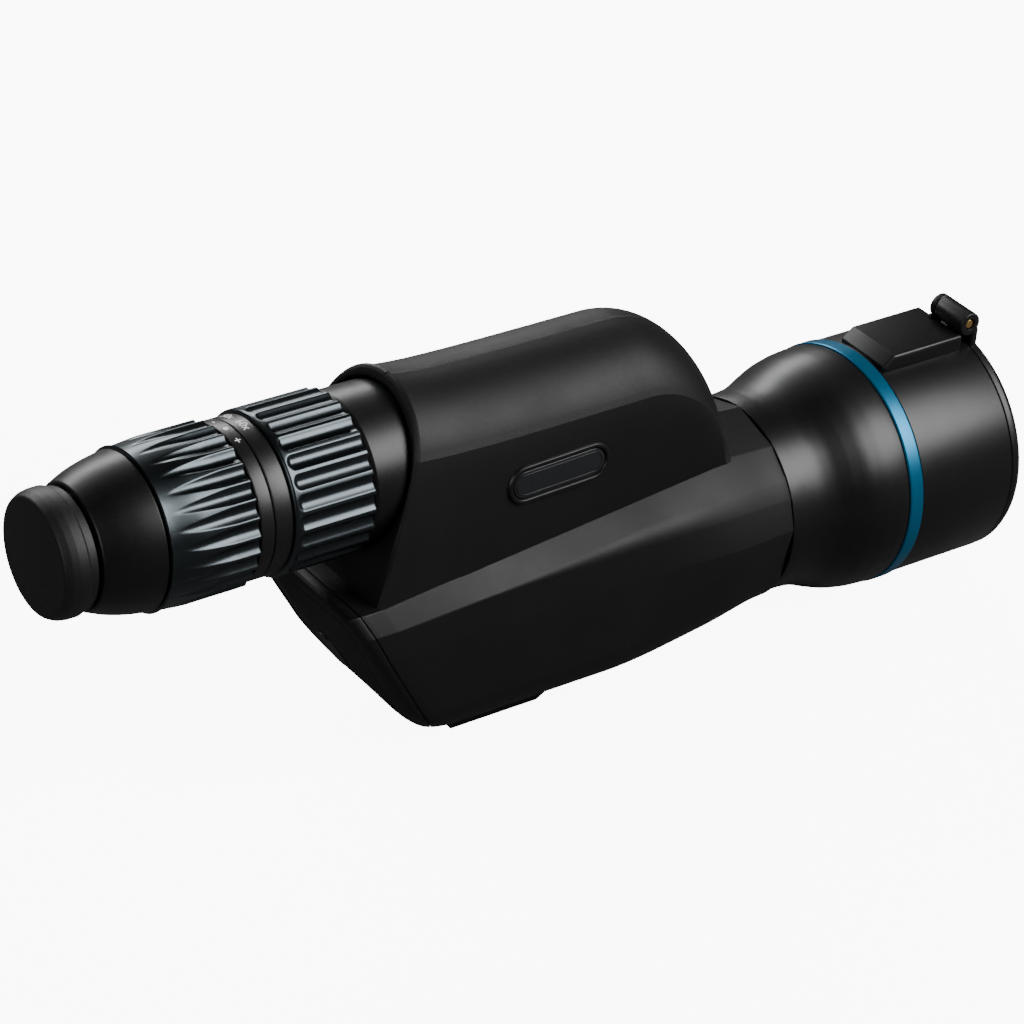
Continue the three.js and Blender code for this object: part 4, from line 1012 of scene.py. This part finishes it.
def make_hinge():
    """Plate on the shade, its fixed lug, the cover's long knuckle with its arm, and the pin."""
    _, high = corners("hinge_plate")
    pin_low, pin_high = corners("hinge_pin")
    centre = Vector(((pin_low.x + pin_high.x) / 2, 0, (pin_low.z + pin_high.z) / 2))
    radius = (high.x - centre.x) / MM
    half = high.y / MM
    split = 1.8
    lug_end = 4.6
    far_side = 11.6
    bore = (pin_high.z - pin_low.z) / 2 / MM + 0.3
    start = ends("hinge_plate")[0]
    hinge = reading(centre.x)
    top = 49.6
    plate_end = hinge - 3.5
    outline = rounded([(start - 0.2, 43.0, 0), (start - 0.2, 45.9, 0.8), (start + 4.2, top, 2.2),
                       (plate_end, top, 0.5), (plate_end, 43.0, 0)], steps=6)
    rings = []
    for side, drop in ((-1, 0.9), (-0.985, 0.35), (-0.955, 0.08), (-0.92, 0.0), (0.92, 0.0), (0.955, 0.08),
                       (0.985, 0.35), (1, 0.9)):
        width = far_side if side > 0 else half
        rings.append([place(x + (drop if x < start + 5 else 0), side * width, z - drop if z > 44 else z)
                      for x, z in outline])
    rings.insert(0, fan_centre(rings[0]))
    rings.append(fan_centre(rings[-1]))
    points, faces = skin_rings(rings)
    mesh_piece("hinge_saddle", points, faces, PLASTIC, replaces=["hinge_plate"], slot="plastic")
    points, faces = knuckle(split + 0.15, lug_end, radius, centre, bore)
    mesh_piece("fixed_knuckle", points, faces, PLASTIC, slot="plastic")
    web = block("fixed_web", (station(plate_end - 2), (split + 0.3) * MM, place(0, 0, 45.6).z),
                (centre.x + 0.5 * MM, (lug_end - 0.2) * MM, centre.z - bore * MM - 0.5 * MM))
    adopt("fixed_web", softened(web, 0.5), PLASTIC)
    points, faces = knuckle(-half, split - 0.15, radius, centre, bore)
    mesh_piece("moving_knuckle", points, faces, PLASTIC, body="cover", slot="plastic")
    arm_x = ends("objective_shade")[1] + 0.35
    arm = block("cover_arm", (station(arm_x), (-half + 0.3) * MM, place(0, 0, 40).z),
                (station(arm_x + 3.0), (split - 0.5) * MM, centre.z - (bore + 0.3) * MM))
    adopt("cover_arm", softened(arm, 0.9), PLASTIC, "cover")
    pin_radius = bore - 0.35
    rings = []
    for across, reach in rounded([(-half + 0.5, 0, 0), (-half + 0.5, pin_radius, 0.5),
                                  (lug_end - 0.4, pin_radius, 0.4), (lug_end - 0.4, 0, 0)], steps=5):
        rings.append(ring_across(centre, across, reach, 48 if reach > 1e-6 else 1))
    points, faces = skin_rings(rings)
    mesh_piece("pin", points, faces, BRASS, replaces=["hinge_pin"], slot="brass")


def softened(piece, width):
    """The mesh of a temporary block with its edges rounded."""
    edge = piece.modifiers.new("soften", "BEVEL")
    edge.width = width * MM
    edge.segments = 4
    return baked(piece)


def coat_inner_parts():
    """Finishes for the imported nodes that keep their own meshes."""
    coats = {
        GLASS: ["eye_lens", "focus_lens", "rear_zoom_lens", "front_zoom_lens", "erecting_prism",
                "objective_rear_lens"],
        MIRROR: ["fold_mirror"],
        STEEL: ["zoom_drive_pin", "zoom_cam_sleeve", "plate_screw_1", "plate_screw_2"],
        BRASS: ["quarter_inch_insert", "index_pin_bush"],
        BLACK_METAL: ["eyepiece_core", "rear_zoom_cell", "front_zoom_cell", "field_stop", "mirror_carrier",
                      "prism_cradle", "light_baffle", "tripod_plate", "lens_spacer", "eye_lens_ring",
                      "focus_cell", "focus_lens_ring"],
    }
    for material, nodes in coats.items():
        for node in nodes:
            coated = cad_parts[node]
            coated.data.materials.clear()
            coated.data.materials.append(material)


# ---- studio --------------------------------------------------------------------------------
PAPER_LIFT = 9.0  # extra brightness of the paper as the viewer sees it


def make_floor():
    mesh = bpy.data.meshes.new("floor")
    reach = 6.0
    drop = -0.0002
    corner_points = [(-reach, -reach, drop), (reach, -reach, drop), (reach, reach, drop), (-reach, reach, drop)]
    mesh.from_pydata(corner_points, [], [(0, 1, 2, 3)])
    floor = bpy.data.objects.new("floor", mesh)
    bpy.context.scene.collection.objects.link(floor)
    paper = bpy.data.materials.new("studio paper")
    paper.use_nodes = True
    tree = paper.node_tree
    tree.nodes.clear()
    wires = Wiring(tree)
    seen = wires.node("ShaderNodeLightPath").outputs["Is Camera Ray"]
    sheet = wires.node("ShaderNodeBsdfDiffuse", {"Color": (0.9, 0.9, 0.9, 1)})
    lift = wires.node("ShaderNodeEmission", {"Color": (1, 1, 1, 1), "Strength": PAPER_LIFT})
    bright = wires.node("ShaderNodeAddShader", {0: sheet.outputs[0], 1: lift.outputs[0]})
    dull = wires.node("ShaderNodeBsdfDiffuse", {"Color": (0.12, 0.12, 0.12, 1)})
    chosen = wires.node("ShaderNodeMixShader", {0: seen, 1: dull.outputs[0], 2: bright.outputs[0]})
    output = wires.node("ShaderNodeOutputMaterial", {"Surface": chosen.outputs[0]})
    output.is_active_output = True
    mesh.materials.append(paper)


def softbox(name, towards, distance, size, power, target=(0.02, 0.0, 0.07)):
    """A soft area light seen from the scope along a direction."""
    lamp = bpy.data.lights.new(name, "AREA")
    lamp.shape = "RECTANGLE"
    lamp.size, lamp.size_y = size
    lamp.energy = power
    holder = bpy.data.objects.new(name, lamp)
    aim = Vector(towards).normalized()
    holder.location = Vector(target) + aim * distance
    holder.rotation_euler = aim.to_track_quat("Z", "Y").to_euler()
    bpy.context.scene.collection.objects.link(holder)


def make_lights():
    softbox("key", (0.52, -0.60, 0.61), 1.4, (0.85, 0.85), 27)
    softbox("rim", (0.05, 0.95, 0.5), 1.5, (1.7, 0.3), 22)
    softbox("rear fill", (-0.9, -0.35, 0.35), 1.7, (0.5, 0.9), 7)
    world = bpy.data.worlds.new("studio")
    world.use_nodes = True
    tree = world.node_tree
    tree.nodes.clear()
    wires = Wiring(tree)
    seen = wires.node("ShaderNodeLightPath").outputs["Is Camera Ray"]
    pale = wires.node("ShaderNodeBackground", {"Color": (0.93, 0.94, 0.96, 1), "Strength": 12.0})
    dim = wires.node("ShaderNodeBackground", {"Color": (0.93, 0.95, 1.0, 1), "Strength": 0.035})
    chosen = wires.node("ShaderNodeMixShader", {0: seen, 1: dim.outputs[0], 2: pale.outputs[0]})
    wires.node("ShaderNodeOutputWorld", {"Surface": chosen.outputs[0]})
    bpy.context.scene.world = world


def make_camera():
    """The viewer stands behind the eyepiece, to the right and above, with a long lens."""
    yaw, pitch, roll = (math.radians(angle) for angle in (37.87, 31.90, 5.05))
    lens = bpy.data.cameras.new("camera")
    lens.lens = 141.73
    lens.sensor_width = 36.0
    lens.clip_start = 0.05
    camera = bpy.data.objects.new("camera", lens)
    level = Vector((math.cos(yaw), -math.sin(yaw), 0))
    aim = Vector((math.sin(yaw) * math.cos(pitch), math.cos(yaw) * math.cos(pitch), -math.sin(pitch)))
    upright = level.cross(aim)
    right = level * math.cos(roll) + upright * math.sin(roll)
    up = upright * math.cos(roll) - level * math.sin(roll)
    turn = Matrix((right, up, -aim)).transposed()
    camera.matrix_world = Matrix.Translation(place(-543.8, -945.8, 768.4)) @ turn.to_4x4()
    bpy.context.scene.collection.objects.link(camera)
    bpy.context.scene.camera = camera


make_camera()
make_floor()
make_lights()
make_cap()
make_eyecup()
make_ocular_housing()
make_rings()
make_bands()
make_marks()
make_lower_body()
make_rear_end()
make_hump()
make_foot()
make_badge()
make_bell()
make_trim()
make_shade()
make_objective_lenses()
make_cover()
make_hinge()
coat_inner_parts()
